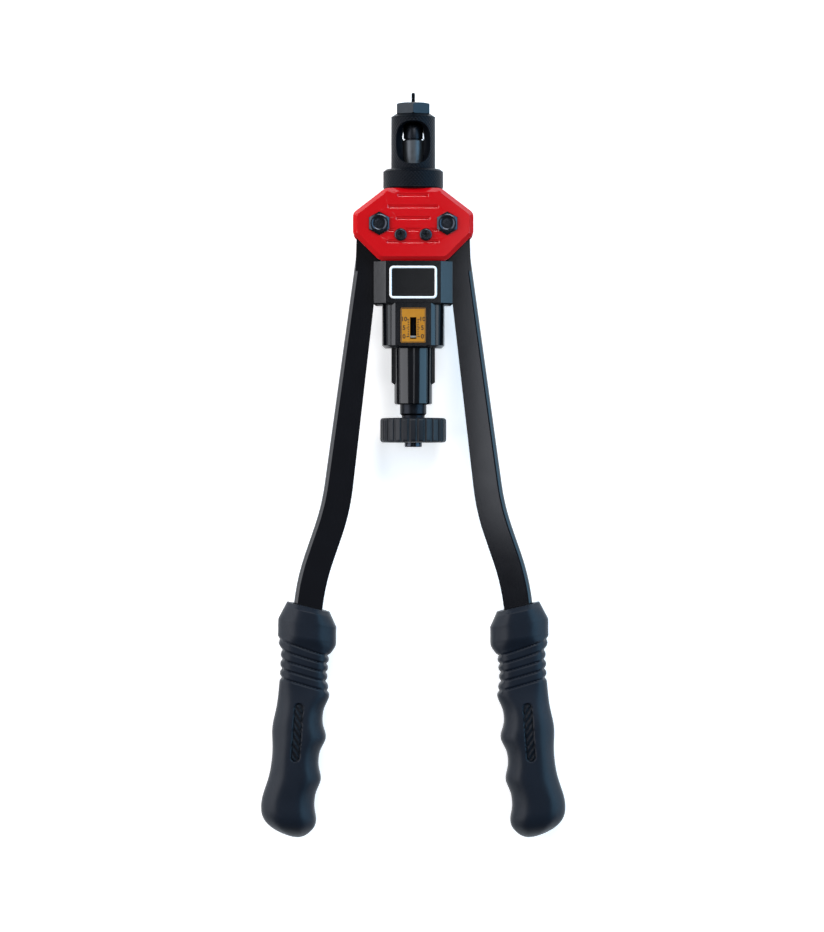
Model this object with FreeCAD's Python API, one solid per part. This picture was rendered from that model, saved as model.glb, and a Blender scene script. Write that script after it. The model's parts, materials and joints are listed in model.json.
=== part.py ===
"""Two-handed lever tool for setting blind rivet nuts, lying on its back as it does on a bench.

The tool's own axis runs along Y with the nose towards +Y. X is across the two levers and Z is up,
through the front cover. Every piece is built about the working point of the mechanism, where the line
through the two pivot bolts crosses the tool's axis, and is moved into the row frame when it is written.
The row frame's origin is on the bench, below the middle of the tool's length. The pose is the closed
one: both levers are against their stops and the draw spindle is pulled right back.

How it works: each lever turns on a bolt that joins the front and rear covers. A drive pin stands out of
the lever just outboard of that bolt and works in a fork of the draw yoke. Opening the levers lifts the
pins, and the yoke, its draw tube, the spindle, the chuck and the mandrel move towards the nose by the
stroke. Closing them pulls the mandrel back against the anvil with the full leverage of the long
handles. The knob spins the spindle in the yoke, on a ball thrust bearing, to screw the mandrel into a
rivet nut and out again.
"""
import FreeCAD
import Part

import math
import os

# ------------------------------------------------------ driving dimensions, in millimetres and degrees
OVERALL_LENGTH = 432.0        # mandrel tip to grip ends, a 17 inch tool
STROKE = 7.0                  # travel of the yoke, spindle and mandrel
LEVER_SWING = 44.0            # each lever, closed to open
RUN_FIT = 0.05                # radial clearance where one piece turns or slides in another
SIDE_GAP = 0.3                # gap beside pieces that pass each other

# stations along the tool's axis, measured from the line of the pivot bolts, positive towards the nose
TIP_Y = 76.7                  # mandrel tip
ANVIL_FACE_Y = 70.6
SLEEVE_TOP_Y = 64.3
SLEEVE_FOOT_Y = 32.1
NOSE_SEAT_Y = 20.8            # top of the body, where the locknut seats
COVER_TOP_Y = 20.6
COVER_FOOT_Y = -21.4
BLOCK_FOOT_Y = -46.9          # foot of the wide block behind the name plate
SCALE_FOOT_Y = -71.9          # foot of the round block behind the stroke scale
BODY_FOOT_Y = -104.3          # end of the body's tail tube

# covers
COVER_PIN_ROOM = 1.16         # between the drive pins, at their widest, and the cover's sides
COVER_TOP_HALF = 16.0
COVER_FOOT_HALF = 19.4
COVER_SIDE_FOOT_Y = -6.1
COVER_FACE_Z = 16.6           # outer face, from the middle plane
COVER_SKIN = 3.0
COVER_RIM = 2.2
COVER_BEVEL = 2.4
COVER_CORNER_R = 4.0
BAR_PITCH = 6.7               # the five sunk bars across each cover
BAR_HEIGHT = 2.6
BAR_DEPTH = 0.45
BAR_LENGTHS = (18.4, 30.0, 20.2, 30.0, 30.6)
BAR_TOP_Y = 16.2

# pivots, screws and drive
PIVOT_X = 19.6
BOLT_D = 8.0
BOLT_AF = 11.5                # a small head for an M8
BOLT_DISH_D = 8.6
BOLT_DISH = 0.7
BOLT_RIM = 0.6                # flat ring round the dish
BOLT_CORNER_SLOPE = 25.0
BOLT_HEAD = 4.0
BOLT_END = 0.4                # left between the bolt's end and the nut's face
NUT_HEIGHT = 4.8
BOLT_POCKET = 2.2
POCKET_GAP = 0.25
BUSH_D = 12.0
COVER_BOSS_D = 15.0
COVER_SCREW_X = 7.26
COVER_SCREW_Y = -6.5
COVER_SCREW_D = 4.0
COVER_SCREW_HEAD_D = 7.3
COVER_SCREW_HEAD = 1.9
CROSS_RECESS = (2.1, 0.5, 1.4)    # half length, half width, depth
DRIVE_PIN_D = 5.0
DRIVE_SLOT_GAP = 0.08         # above and below the drive pin in its fork

# levers
LEVER_THICK = 10.0
LEVER_TOP_WIDTH = 13.0
LEVER_WIDTH = 17.0
LEVER_HUB_WALL = 3.2
LEVER_PIN_WALL = 2.5
LEVER_ROUND = 3.0             # rounding of the outer edges
LEVER_AXIS_FROM_PIVOT = ((4.5, 0.0), (25.3, -165.0), (39.8, -207.0), (52.8, -326.0))
LEVER_BEND_R = 130.0
LEVER_NECK_FOOT_Y = -27.0     # where the neck runs out into the bar
LEVER_BAR_TOP_Y = -8.0

# grips, along their own axis from the mouth to the end
GRIP_TILT = 5.5
GRIP_MOUTH_LEAN = 8.0         # the mouth's face leans this much more than the grip's own cross sections
GRIP_MOUTH_FROM_PIVOT = 42.0
GRIP_MOUTH_Y = -221.5
GRIP_COLLAR_HALF = 16.6
GRIP_COLLAR_LENGTH = 24.0
GRIP_WAIST_HALF = 13.2
GRIP_PALM_HALF = 13.6
GRIP_FINGER_PITCH = 24.2
GRIP_FINGER_DEPTH = 1.5
GRIP_HALF_THICK = 15.6

# body
CORE_HALF_WIDTH = 15.8
BLOCK_HALF_WIDTH = 22.95
BLOCK_FLAT_HALF = 16.0
BLOCK_HALF_THICK = 15.0
BLOCK_SIDE_Z = 8.5
BLOCK_FOOT_BEVEL = 1.2
BLOCK_EDGE_R = 1.0
SCALE_BLOCK_R = 18.3
SCALE_FLAT_Z = 15.1
SCALE_FOOT_BEVEL = 1.7
TAIL_D = 22.1
TAIL_BEVEL = 0.6
TAIL_RIB_X = 12.65
TAIL_RIB_FOOT_Y = -93.0
TAIL_RIB_THICK = 5.0
TAIL_RIB_RAMP = 1.5
BODY_BORE_D = 18.2
CHAMBER_TOP_Y = 11.0
CHAMBER_FOOT_Y = -16.0
LEVER_SLOT_FROM_PIVOT = 7.4

# nose
SLEEVE_D = 25.6
SLEEVE_BEVEL = (2.6, 1.7)     # across and along
SLEEVE_BORE_D = 12.2          # guides the chuck
SLEEVE_RELIEF_D = 13.4        # wider stretch beside the chuck's mouth
SLEEVE_RELIEF_TOP_Y = 56.0
SLEEVE_RELIEF_FOOT_Y = 49.8
SPIGOT_D = 20.0
SPIGOT_FOOT_Y = 11.3
WINDOW_TOP_Y = 59.2
WINDOW_REAR_TOP_Y = 55.5
WINDOW_FOOT_Y = 35.4
WINDOW_IN_WIDTH = 12.9
WINDOW_OUT_WIDTH = 19.6
WINDOW_END_RISE = 6.4         # of the arc at each end
WINDOW_FLARE = 0.6
ANVIL_AF = 19.0
ANVIL_CORNER_BEVEL = (0.6, 0.4)
ANVIL_FACE_BEVEL = 0.9
ANVIL_SPIGOT_D = 16.0
ANVIL_SPIGOT_FOOT_Y = 59.9
LOCKNUT_D = 34.9
LOCKNUT_BEVEL = (1.6, 1.3)
LOCKNUT_FOOT_BEVEL = 0.5

# draw train
YOKE_CHEEK = 5.0
DRAW_TUBE_D = 18.1
YOKE_SPIGOT_D = 16.0
SPINDLE_D = 10.0
JOURNAL_D = 15.4
CHUCK_D = 11.9
CHUCK_TOP_Y = 49.2
CHUCK_THREAD_D = 8.0
CHUCK_THREAD_TOP_Y = 22.0
CHUCK_BEVEL = 0.5
TANG_D = 6.5
TANG_FOOT_Y = 37.7
COLLAR_D = 11.2               # the mandrel's collar
COLLAR_TOP_Y = 54.0
COLLAR_GROOVE = (0.8, 0.6)    # depth and width, where the collar meets the chuck
MANDREL_CONE = 4.8            # length of the cone between the collar and the shank
MANDREL_D = 2.4               # over the threaded end
SHANK_D = 1.8                 # the root of the rolled thread
MANDREL_END_BEVEL = 0.4
POINTER_Y = -65.3
POINTER_HEIGHT = 1.0
POINTER_ROOT = 2.2            # how deep it sits in the draw tube
POINTER_SUNK = 0.7            # below the scale's face
SLOT_WIDTH = 3.6
SLOT_TOP_Y = -54.1
SLOT_FOOT_Y = -66.6
TUBE_FOOT_Y = -66.5
RACE_THICK = 1.5
BALL_D = 1.98
BALL_COUNT = 12
CAGE_HALF = 1.5               # half width of the cage's ring
CAGE_THICK = 1.0
CAGE_PLAY = 0.08              # round each ball
TAIL_BUSH_LENGTH = 9.0

# knob
KNOB_D = 38.4
KNOB_THICK = 14.3
KNOB_RIM_R = 1.8
KNOB_DISH_WALL = 4.5
KNOB_DISH = 1.0
KNOB_TRAVEL_GAP = 0.8         # left between the knob and the body when the levers are open
KNOB_NECK = 1.7               # the thin neck between the spindle's journal and the knob
KNOB_SCREW_HEAD = 2.6
KNOB_HUB_D = 14.0
KNOB_FLUTES = 26
KNOB_FLUTE_R = 1.15
KNOB_SQUARE = 8.0
KNOB_SCREW_D = 5.0
KNOB_SCREW_HEAD_D = 10.2
KNOB_SCREW_SOCKET_AF = 4.0
KNOB_SCREW_SOCKET = 2.0

# plates
NAME_PLATE = (28.0, 19.4, 0.5)
NAME_PLATE_Y = -33.9
SCALE_PLATE = (14.5, 20.1, 0.5)
SCALE_PLATE_Y = -58.75
SCALE_CHANNEL = 16.4
NAME_PLATE_CORNER_R = 2.6
SCALE_PLATE_CORNER_R = 0.96
FAR = 60.0                    # further out than any piece reaches, for cuts right through

# ---------------------------------------------------------------------- what follows from them
PIVOT_Y_IN_ROW = OVERALL_LENGTH / 2 - TIP_Y
AXIS_Z_IN_ROW = max(KNOB_D / 2, COVER_FACE_Z - BOLT_POCKET + NUT_HEIGHT)
GRIP_END_Y = TIP_Y - OVERALL_LENGTH
HALF_SWING = math.radians(LEVER_SWING / 2)
DRIVE_RADIUS = STROKE / (2 * math.sin(HALF_SWING))
DRIVE_PIN_X = PIVOT_X + DRIVE_RADIUS * math.cos(HALF_SWING)
DRIVE_PIN_Y = -STROKE / 2
COVER_HALF_WIDTH = PIVOT_X + DRIVE_RADIUS + DRIVE_PIN_D / 2 + COVER_PIN_ROOM + COVER_RIM
COVER_SIDE_TOP_Y = STROKE / 2 + DRIVE_PIN_D / 2 + 4 * RUN_FIT
COVER_RIM_Z = LEVER_THICK / 2 + 2 * SIDE_GAP
COVER_FLOOR_Z = COVER_FACE_Z - COVER_SKIN
YOKE_IN_Z = LEVER_THICK / 2 + SIDE_GAP
YOKE_OUT_Z = YOKE_IN_Z + YOKE_CHEEK
CHAMBER_HALF_Z = YOKE_OUT_Z + 4 * RUN_FIT
YOKE_TOP_Y = CHAMBER_TOP_Y - STROKE - SIDE_GAP
YOKE_FOOT_Y = CHAMBER_FOOT_Y + SIDE_GAP
FLANGE_Y = TUBE_FOOT_Y - 2 * RACE_THICK - 2.0
LEVER_HUB_R = BUSH_D / 2 + LEVER_HUB_WALL
ANVIL_BORE_D = COLLAR_D + 2 * SIDE_GAP
ANVIL_BORE_TOP_Y = COLLAR_TOP_Y + MANDREL_CONE + STROKE + 2 * SIDE_GAP
BALL_CIRCLE_D = (SPINDLE_D + DRAW_TUBE_D) / 2
KNOB_TOP_Y = BODY_FOOT_Y - STROKE - KNOB_TRAVEL_GAP
KNOB_FOOT_Y = KNOB_TOP_Y - KNOB_THICK
KNOB_SCREW_Y = KNOB_FOOT_Y - KNOB_SCREW_HEAD
JOURNAL_FOOT_Y = KNOB_TOP_Y + KNOB_NECK
LEVER_AXIS = [(PIVOT_X + x, y) for x, y in LEVER_AXIS_FROM_PIVOT]
GRIP_MOUTH_X = PIVOT_X + GRIP_MOUTH_FROM_PIVOT
GRIP_LENGTH = (GRIP_MOUTH_Y - GRIP_END_Y) / math.cos(math.radians(GRIP_TILT))


# ---------------------------------------------------------------------- small helpers
def point(x, y, z=0.0):
    return FreeCAD.Vector(x, y, z)


def rod_y(diameter, y_low, y_high, x=0.0, z=0.0):
    """A round bar along the tool's axis."""
    return Part.makeCylinder(diameter / 2, y_high - y_low, point(x, y_low, z), point(0, 1, 0))


def rod_z(diameter, x, y, z_low, z_high):
    """A round bar through the tool's thickness."""
    return Part.makeCylinder(diameter / 2, z_high - z_low, point(x, y, z_low), point(0, 0, 1))


def block(x_low, x_high, y_low, y_high, z_low, z_high):
    return Part.makeBox(x_high - x_low, y_high - y_low, z_high - z_low, point(x_low, y_low, z_low))


def turned(profile):
    """A turned part: (radius, station) corners down one side, spun about the tool's axis."""
    corners = [point(r, y) for r, y in profile]
    wire = Part.makePolygon([*corners, corners[0]])
    return Part.Face(wire).revolve(point(0, 0), point(0, 1, 0), 360)


def plate(corners, z_low, z_high):
    """A flat plate from outline corners (x, y, corner radius), each corner rounded by a tangent arc."""
    edges = []
    ends = []
    count = len(corners)
    for n, (x, y, radius) in enumerate(corners):
        here = point(x, y, z_low)
        before = point(*corners[n - 1][:2], z_low) - here
        after = point(*corners[(n + 1) % count][:2], z_low) - here
        before.normalize()
        after.normalize()
        if radius < 1e-6:
            ends.append((here, here))
            continue
        half = before.getAngle(after) / 2
        reach = radius / math.tan(half)
        bisector = before + after
        bisector.normalize()
        centre = here + bisector * (radius / math.sin(half))
        start, end = here + before * reach, here + after * reach
        edges.append(Part.Arc(start, centre - bisector * radius, end).toShape())
        ends.append((start, end))
    for n in range(count):
        leave, arrive = ends[n][1], ends[(n + 1) % count][0]
        if leave.distanceToPoint(arrive) > 1e-6:
            edges.append(Part.LineSegment(leave, arrive).toShape())
    wire = Part.Wire(Part.__sortEdges__(edges))
    return Part.Face(wire).extrude(point(0, 0, z_high - z_low))


def hexagon(across_flats, x, y, z_low, z_high, turn=30.0):
    """A hexagonal prism through the tool's thickness."""
    radius = across_flats / math.sqrt(3)
    corners = []
    for n in range(6):
        angle = math.radians(60 * n + turn)
        corners.append((x + radius * math.cos(angle), y + radius * math.sin(angle), 0))
    return plate(corners, z_low, z_high)


def mirror_x(shape):
    return shape.mirror(point(0, 0, 0), point(1, 0, 0))


def mirror_z(shape):
    return shape.mirror(point(0, 0, 0), point(0, 0, 1))


def save(name, shapes):
    """Moves the piece, or group of like pieces, into the row frame and writes it as one STEP file."""
    shapes = shapes if isinstance(shapes, list) else [shapes]
    moved = []
    for shape in shapes:
        solids = shape.removeSplitter().Solids
        for solid in solids:
            solid.translate(point(0, PIVOT_Y_IN_ROW, AXIS_Z_IN_ROW))
            moved.append(solid)
    whole = moved[0] if len(moved) == 1 else Part.makeCompound(moved)
    if not all(s.isValid() and s.Volume > 0 for s in moved):
        raise ValueError(f"{name} is not a sound solid")
    whole.exportStep(f"parts/{name}.step")
    print(f"{name:24s} {len(moved):3d} solids {sum(s.Volume for s in moved) / 1000:8.2f} cm3")


# ---------------------------------------------------------------------- covers
def cover_corners(inset=0.0):
    """The eight corners of a cover's outline, anticlockwise from the lower right."""
    half, r = COVER_HALF_WIDTH - inset, COVER_CORNER_R
    right = [
        (COVER_FOOT_HALF, COVER_FOOT_Y + inset, r + 2),
        (half, COVER_SIDE_FOOT_Y, r),
        (half, COVER_SIDE_TOP_Y, r),
        (COVER_TOP_HALF, COVER_TOP_Y - inset, r + 2),
    ]
    return right + [(-x, y, radius) for x, y, radius in reversed(right)]


def inside_cover(z_low, z_high):
    """The space inside a cover: open at its foot, where the levers come out, and at its top, over the body."""
    slope = math.atan2(COVER_TOP_Y - COVER_SIDE_TOP_Y, COVER_HALF_WIDTH - COVER_TOP_HALF)
    drop = COVER_RIM / math.cos(slope)
    inner = COVER_HALF_WIDTH - COVER_RIM
    side_y = COVER_SIDE_TOP_Y - drop + COVER_RIM * math.tan(slope)
    right = [
        (COVER_TOP_HALF, COVER_FOOT_Y - COVER_RIM, 0),
        (COVER_HALF_WIDTH + COVER_RIM, COVER_FOOT_Y - COVER_RIM, 0),
        (COVER_HALF_WIDTH + COVER_RIM, COVER_SIDE_FOOT_Y + 1, 0),
        (inner, COVER_SIDE_FOOT_Y + 1, 0),
        (inner, side_y, COVER_CORNER_R / 2),
        (COVER_TOP_HALF, COVER_TOP_Y - drop, 0),
        (COVER_TOP_HALF, COVER_TOP_Y + COVER_RIM, 0),
    ]
    return plate(right + [(-x, y, r) for x, y, r in reversed(right)], z_low, z_high)


def cover():
    """Front cover: a die cast cap with a bevelled face, a rim round its nose half and bosses for the bolts."""
    shell = plate(cover_corners(), COVER_RIM_Z, COVER_FACE_Z)
    rim_edges = [e for e in shell.Edges if abs(e.BoundBox.ZMin - COVER_FACE_Z) < 1e-4]
    shell = shell.makeChamfer(COVER_BEVEL, rim_edges)
    shell = shell.cut(inside_cover(COVER_RIM_Z - 1, COVER_FLOOR_Z))
    for x in (-PIVOT_X, PIVOT_X):
        shell = shell.fuse(rod_z(COVER_BOSS_D, x, 0, CHAMBER_HALF_Z, COVER_FLOOR_Z))
    for x in (-PIVOT_X, PIVOT_X):
        pocket_floor = COVER_FACE_Z - BOLT_POCKET
        shell = shell.cut(rod_z(BOLT_D + 2 * RUN_FIT, x, 0, 0, COVER_FACE_Z + 1))
        shell = shell.cut(hexagon(BOLT_AF + 2 * POCKET_GAP, x, 0, pocket_floor, COVER_FACE_Z + 1))
    for x in (-COVER_SCREW_X, COVER_SCREW_X):
        shell = shell.cut(rod_z(COVER_SCREW_D + 4 * RUN_FIT, x, COVER_SCREW_Y, 0, COVER_FACE_Z + 1))
    for n, length in enumerate(BAR_LENGTHS):
        y, half, r = BAR_TOP_Y - n * BAR_PITCH, length / 2, BAR_HEIGHT / 2
        bar = plate([(-half, y - r, r * 0.9), (half, y - r, r * 0.9), (half, y + r, r * 0.9), (-half, y + r, r * 0.9)],
                    COVER_FACE_Z - BAR_DEPTH, COVER_FACE_Z + 1)
        for x in (-COVER_SCREW_X, COVER_SCREW_X):
            bar = bar.cut(rod_z(COVER_SCREW_HEAD_D + 2, x, COVER_SCREW_Y, 0, COVER_FACE_Z + 2))
        shell = shell.cut(bar)
    return shell


def cover_screws():
    """Cross-recess pan head screws, which hold a cover on the body."""
    screws = []
    long, wide, deep = CROSS_RECESS
    for x in (-COVER_SCREW_X, COVER_SCREW_X):
        top = COVER_FACE_Z + COVER_SCREW_HEAD
        head = rod_z(COVER_SCREW_HEAD_D, x, COVER_SCREW_Y, COVER_FACE_Z, top)
        rim = [e for e in head.Edges if abs(e.BoundBox.ZMin - top) < 1e-4 and abs(e.BoundBox.ZMax - top) < 1e-4]
        head = head.makeFillet(COVER_SCREW_HEAD * 0.55, rim)
        screw = head.fuse(rod_z(COVER_SCREW_D, x, COVER_SCREW_Y, CHAMBER_HALF_Z + 0.1, COVER_FACE_Z))
        for along, across in ((long, wide), (wide, long)):
            screw = screw.cut(block(x - along, x + along, COVER_SCREW_Y - across, COVER_SCREW_Y + across,
                                    top - deep, top + 1))
        screws.append(screw)
    return screws


def hex_head(x, height, z_low):
    """A bolt head or nut: a hexagon whose outer corners are turned off by a cone, with a dished top."""
    head = hexagon(BOLT_AF, x, 0, z_low, z_low + height)
    corner = BOLT_AF / math.sqrt(3)
    flat = BOLT_DISH_D / 2 + BOLT_RIM
    rise = (corner - flat) * math.tan(math.radians(BOLT_CORNER_SLOPE))
    cap = Part.makeCone(corner, flat, rise, point(x, 0, z_low + height - rise), point(0, 0, 1))
    head = head.common(cap.fuse(rod_z(2 * corner, x, 0, z_low, z_low + height - rise)))
    return head.cut(rod_z(BOLT_DISH_D, x, 0, z_low + height - BOLT_DISH, z_low + height + 1))


def pivot_bolts():
    """Hexagon bolts that the levers turn on, their heads sunk in the front cover's pockets."""
    seat = COVER_FACE_Z - BOLT_POCKET
    return [hex_head(x, BOLT_HEAD, seat).fuse(rod_z(BOLT_D, x, 0, -seat - NUT_HEIGHT + BOLT_END, seat))
            for x in (-PIVOT_X, PIVOT_X)]


def pivot_nuts():
    seat = COVER_FACE_Z - BOLT_POCKET
    return [mirror_z(hex_head(x, NUT_HEIGHT, seat).cut(rod_z(BOLT_D, x, 0, 0, FAR))) for x in (-PIVOT_X, PIVOT_X)]


# ---------------------------------------------------------------------- body
def body_casting():
    """The body: head core between the covers, name plate block, scale block and tail tube, bored for the draw tube."""
    core = block(-CORE_HALF_WIDTH, CORE_HALF_WIDTH, COVER_FOOT_Y - 2, NOSE_SEAT_Y, -COVER_FLOOR_Z, COVER_FLOOR_Z)
    corners = [
        (BLOCK_FLAT_HALF, BLOCK_HALF_THICK), (BLOCK_HALF_WIDTH, BLOCK_SIDE_Z),
        (BLOCK_HALF_WIDTH, -BLOCK_SIDE_Z), (BLOCK_FLAT_HALF, -BLOCK_HALF_THICK),
    ]
    section = [point(x, BLOCK_FOOT_Y, z) for x, z in corners]
    section += [point(-x, BLOCK_FOOT_Y, z) for x, z in reversed(corners)]
    wide = Part.Face(Part.makePolygon([*section, section[0]]))
    wide = wide.extrude(point(0, COVER_FOOT_Y - SIDE_GAP - BLOCK_FOOT_Y, 0))
    foot_edges = [e for e in wide.Edges if abs(e.BoundBox.YMax - BLOCK_FOOT_Y) < 1e-4]
    wide = wide.makeChamfer(BLOCK_FOOT_BEVEL, foot_edges)
    long_edges = [e for e in wide.Edges if e.BoundBox.YLength > 15]
    wide = wide.makeFillet(BLOCK_EDGE_R, long_edges)

    drum = rod_y(2 * SCALE_BLOCK_R, SCALE_FOOT_Y, BLOCK_FOOT_Y + 1)
    drum = drum.common(block(-FAR, FAR, SCALE_FOOT_Y - 1, 0, -SCALE_FLAT_Z, SCALE_FLAT_Z))
    drum = drum.makeChamfer(SCALE_FOOT_BEVEL, [e for e in drum.Edges if abs(e.BoundBox.YMax - SCALE_FOOT_Y) < 1e-4])

    tail = rod_y(TAIL_D, BODY_FOOT_Y, SCALE_FOOT_Y + 1)
    tail = tail.makeChamfer(TAIL_BEVEL, [e for e in tail.Edges if abs(e.BoundBox.YMax - BODY_FOOT_Y) < 1e-4])
    rib = plate([(TAIL_RIB_X, SCALE_FOOT_Y + 1, 0), (-TAIL_RIB_X, SCALE_FOOT_Y + 1, 0),
                 (-TAIL_RIB_X, TAIL_RIB_FOOT_Y + TAIL_RIB_RAMP, 0), (-TAIL_D / 2 + 0.5, TAIL_RIB_FOOT_Y, 0),
                 (TAIL_D / 2 - 0.5, TAIL_RIB_FOOT_Y, 0), (TAIL_RIB_X, TAIL_RIB_FOOT_Y + TAIL_RIB_RAMP, 0)],
                -TAIL_RIB_THICK / 2, TAIL_RIB_THICK / 2)
    body = core.fuse([wide, drum, tail, rib])

    body = body.cut(rod_y(BODY_BORE_D, BODY_FOOT_Y - 1, CHAMBER_FOOT_Y + 1))
    body = body.cut(rod_y(SPIGOT_D + 2 * RUN_FIT, CHAMBER_TOP_Y - 1, NOSE_SEAT_Y + 1))
    body = body.cut(block(-FAR, FAR, CHAMBER_FOOT_Y, CHAMBER_TOP_Y, -CHAMBER_HALF_Z, CHAMBER_HALF_Z))
    slot_x, slot_z = PIVOT_X - LEVER_SLOT_FROM_PIVOT, LEVER_THICK / 2 + 4 * SIDE_GAP
    for x_low, x_high in ((slot_x, FAR), (-FAR, -slot_x)):
        body = body.cut(block(x_low, x_high, BLOCK_FOOT_Y - 5, CHAMBER_FOOT_Y + 1, -slot_z, slot_z)
                        .cut(rod_y(2 * SCALE_BLOCK_R, BLOCK_FOOT_Y - 6, BLOCK_FOOT_Y)))
    for x in (-COVER_SCREW_X, COVER_SCREW_X):
        body = body.cut(rod_z(COVER_SCREW_D, x, COVER_SCREW_Y, -FAR, FAR))
    for x in (-PIVOT_X, PIVOT_X):
        body = body.cut(rod_z(COVER_BOSS_D + 2 * SIDE_GAP, x, 0, -FAR, FAR))
    channel = block(-SCALE_CHANNEL / 2, SCALE_CHANNEL / 2, SCALE_FOOT_Y - 1, BLOCK_FOOT_Y,
                    SCALE_FLAT_Z - SCALE_PLATE[2], SCALE_FLAT_Z + 1)
    body = body.cut(channel)
    body = body.cut(block(-SLOT_WIDTH / 2, SLOT_WIDTH / 2, SLOT_FOOT_Y, SLOT_TOP_Y, 0, FAR))
    return body


def name_plate():
    """Blank name plate, stuck on the body's front."""
    width, height, thick = NAME_PLATE
    x, y_low, y_high, r = width / 2, NAME_PLATE_Y - height / 2, NAME_PLATE_Y + height / 2, NAME_PLATE_CORNER_R
    return plate([(-x, y_low, r), (x, y_low, r), (x, y_high, r), (-x, y_high, r)],
                 BLOCK_HALF_THICK, BLOCK_HALF_THICK + thick)


def scale_plate():
    """Stroke scale with a slot, in the channel of the scale block."""
    width, height, thick = SCALE_PLATE
    x, y_low, y_high, r = width / 2, SCALE_PLATE_Y - height / 2, SCALE_PLATE_Y + height / 2, SCALE_PLATE_CORNER_R
    leaf = plate([(-x, y_low, r), (x, y_low, r), (x, y_high, r), (-x, y_high, r)], SCALE_FLAT_Z - thick, SCALE_FLAT_Z)
    return leaf.cut(block(-SLOT_WIDTH / 2, SLOT_WIDTH / 2, SLOT_FOOT_Y, SLOT_TOP_Y, 0, FAR))


def tail_bush():
    """Bronze bush in the end of the tail tube, which guides the spindle."""
    foot, top = BODY_FOOT_Y + 0.4, BODY_FOOT_Y + 0.4 + TAIL_BUSH_LENGTH
    return rod_y(BODY_BORE_D, foot, top).cut(rod_y(JOURNAL_D + 2 * RUN_FIT, foot - 1, top + 1))


# ---------------------------------------------------------------------- nose
def nose_sleeve():
    """Windowed nose sleeve, screwed into the body by its spigot."""
    half = SLEEVE_D / 2
    outer = turned([
        (0, SPIGOT_FOOT_Y), (SPIGOT_D / 2, SPIGOT_FOOT_Y), (SPIGOT_D / 2, SLEEVE_FOOT_Y), (half, SLEEVE_FOOT_Y),
        (half, SLEEVE_TOP_Y - SLEEVE_BEVEL[1]), (half - SLEEVE_BEVEL[0], SLEEVE_TOP_Y), (0, SLEEVE_TOP_Y),
    ])
    outer = outer.cut(rod_y(SLEEVE_BORE_D, SPIGOT_FOOT_Y - 1, ANVIL_SPIGOT_FOOT_Y))
    outer = outer.cut(rod_y(SLEEVE_RELIEF_D, SLEEVE_RELIEF_FOOT_Y, SLEEVE_RELIEF_TOP_Y))
    outer = outer.cut(rod_y(ANVIL_SPIGOT_D, ANVIL_SPIGOT_FOOT_Y - 0.1, SLEEVE_TOP_Y + 1))
    return outer.cut([window(1, WINDOW_TOP_Y), window(-1, WINDOW_REAR_TOP_Y)])


def window(side, top_y):
    """A flared window: an oval that is narrow at the bore and wide at the outside."""
    wires = []
    for z, width, grow in ((2.0, WINDOW_IN_WIDTH, 0.0), (SLEEVE_D / 2 + 1, WINDOW_OUT_WIDTH + 2, WINDOW_FLARE)):
        x, low, high = width / 2, WINDOW_FOOT_Y - grow, top_y + grow
        mid_low, mid_high = low + WINDOW_END_RISE, high - WINDOW_END_RISE
        right = Part.LineSegment(point(x, mid_low, side * z), point(x, mid_high, side * z)).toShape()
        top = Part.Arc(point(x, mid_high, side * z), point(0, high, side * z), point(-x, mid_high, side * z)).toShape()
        left = Part.LineSegment(point(-x, mid_high, side * z), point(-x, mid_low, side * z)).toShape()
        foot = Part.Arc(point(-x, mid_low, side * z), point(0, low, side * z), point(x, mid_low, side * z)).toShape()
        wires.append(Part.Wire([right, top, left, foot]))
    return Part.makeLoft(wires, True, True)


def nose_anvil():
    """Hexagon nose piece: its flat face backs the rivet nut while the mandrel pulls."""
    radius = ANVIL_AF / math.sqrt(3)
    corners = []
    for n in range(6):
        angle = math.radians(60 * n + 30)
        corners.append(point(radius * math.cos(angle), SLEEVE_TOP_Y, radius * math.sin(angle)))
    prism = Part.Face(Part.makePolygon([*corners, corners[0]])).extrude(point(0, ANVIL_FACE_Y - SLEEVE_TOP_Y, 0))
    across, along = ANVIL_CORNER_BEVEL
    shave = turned([(0, SLEEVE_TOP_Y), (radius - across, SLEEVE_TOP_Y), (radius, SLEEVE_TOP_Y + along),
                    (radius, ANVIL_FACE_Y - ANVIL_FACE_BEVEL), (ANVIL_AF / 2 - 0.3, ANVIL_FACE_Y), (0, ANVIL_FACE_Y)])
    anvil = prism.common(shave).fuse(rod_y(ANVIL_SPIGOT_D, ANVIL_SPIGOT_FOOT_Y, SLEEVE_TOP_Y))
    anvil = anvil.cut(rod_y(ANVIL_BORE_D, ANVIL_SPIGOT_FOOT_Y - 1, ANVIL_BORE_TOP_Y))
    return anvil.cut(rod_y(MANDREL_D + 4 * RUN_FIT, ANVIL_BORE_TOP_Y - 1, ANVIL_FACE_Y + 1))


def nose_locknut():
    """Round locknut that jams the nose sleeve against the body."""
    half, foot, top = LOCKNUT_D / 2, NOSE_SEAT_Y, SLEEVE_FOOT_Y
    across, along = LOCKNUT_BEVEL
    return turned([(SPIGOT_D / 2 + RUN_FIT, foot), (half - LOCKNUT_FOOT_BEVEL, foot), (half, foot + LOCKNUT_FOOT_BEVEL),
                   (half, top - along), (half - across, top), (SPIGOT_D / 2 + RUN_FIT, top)])


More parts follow.
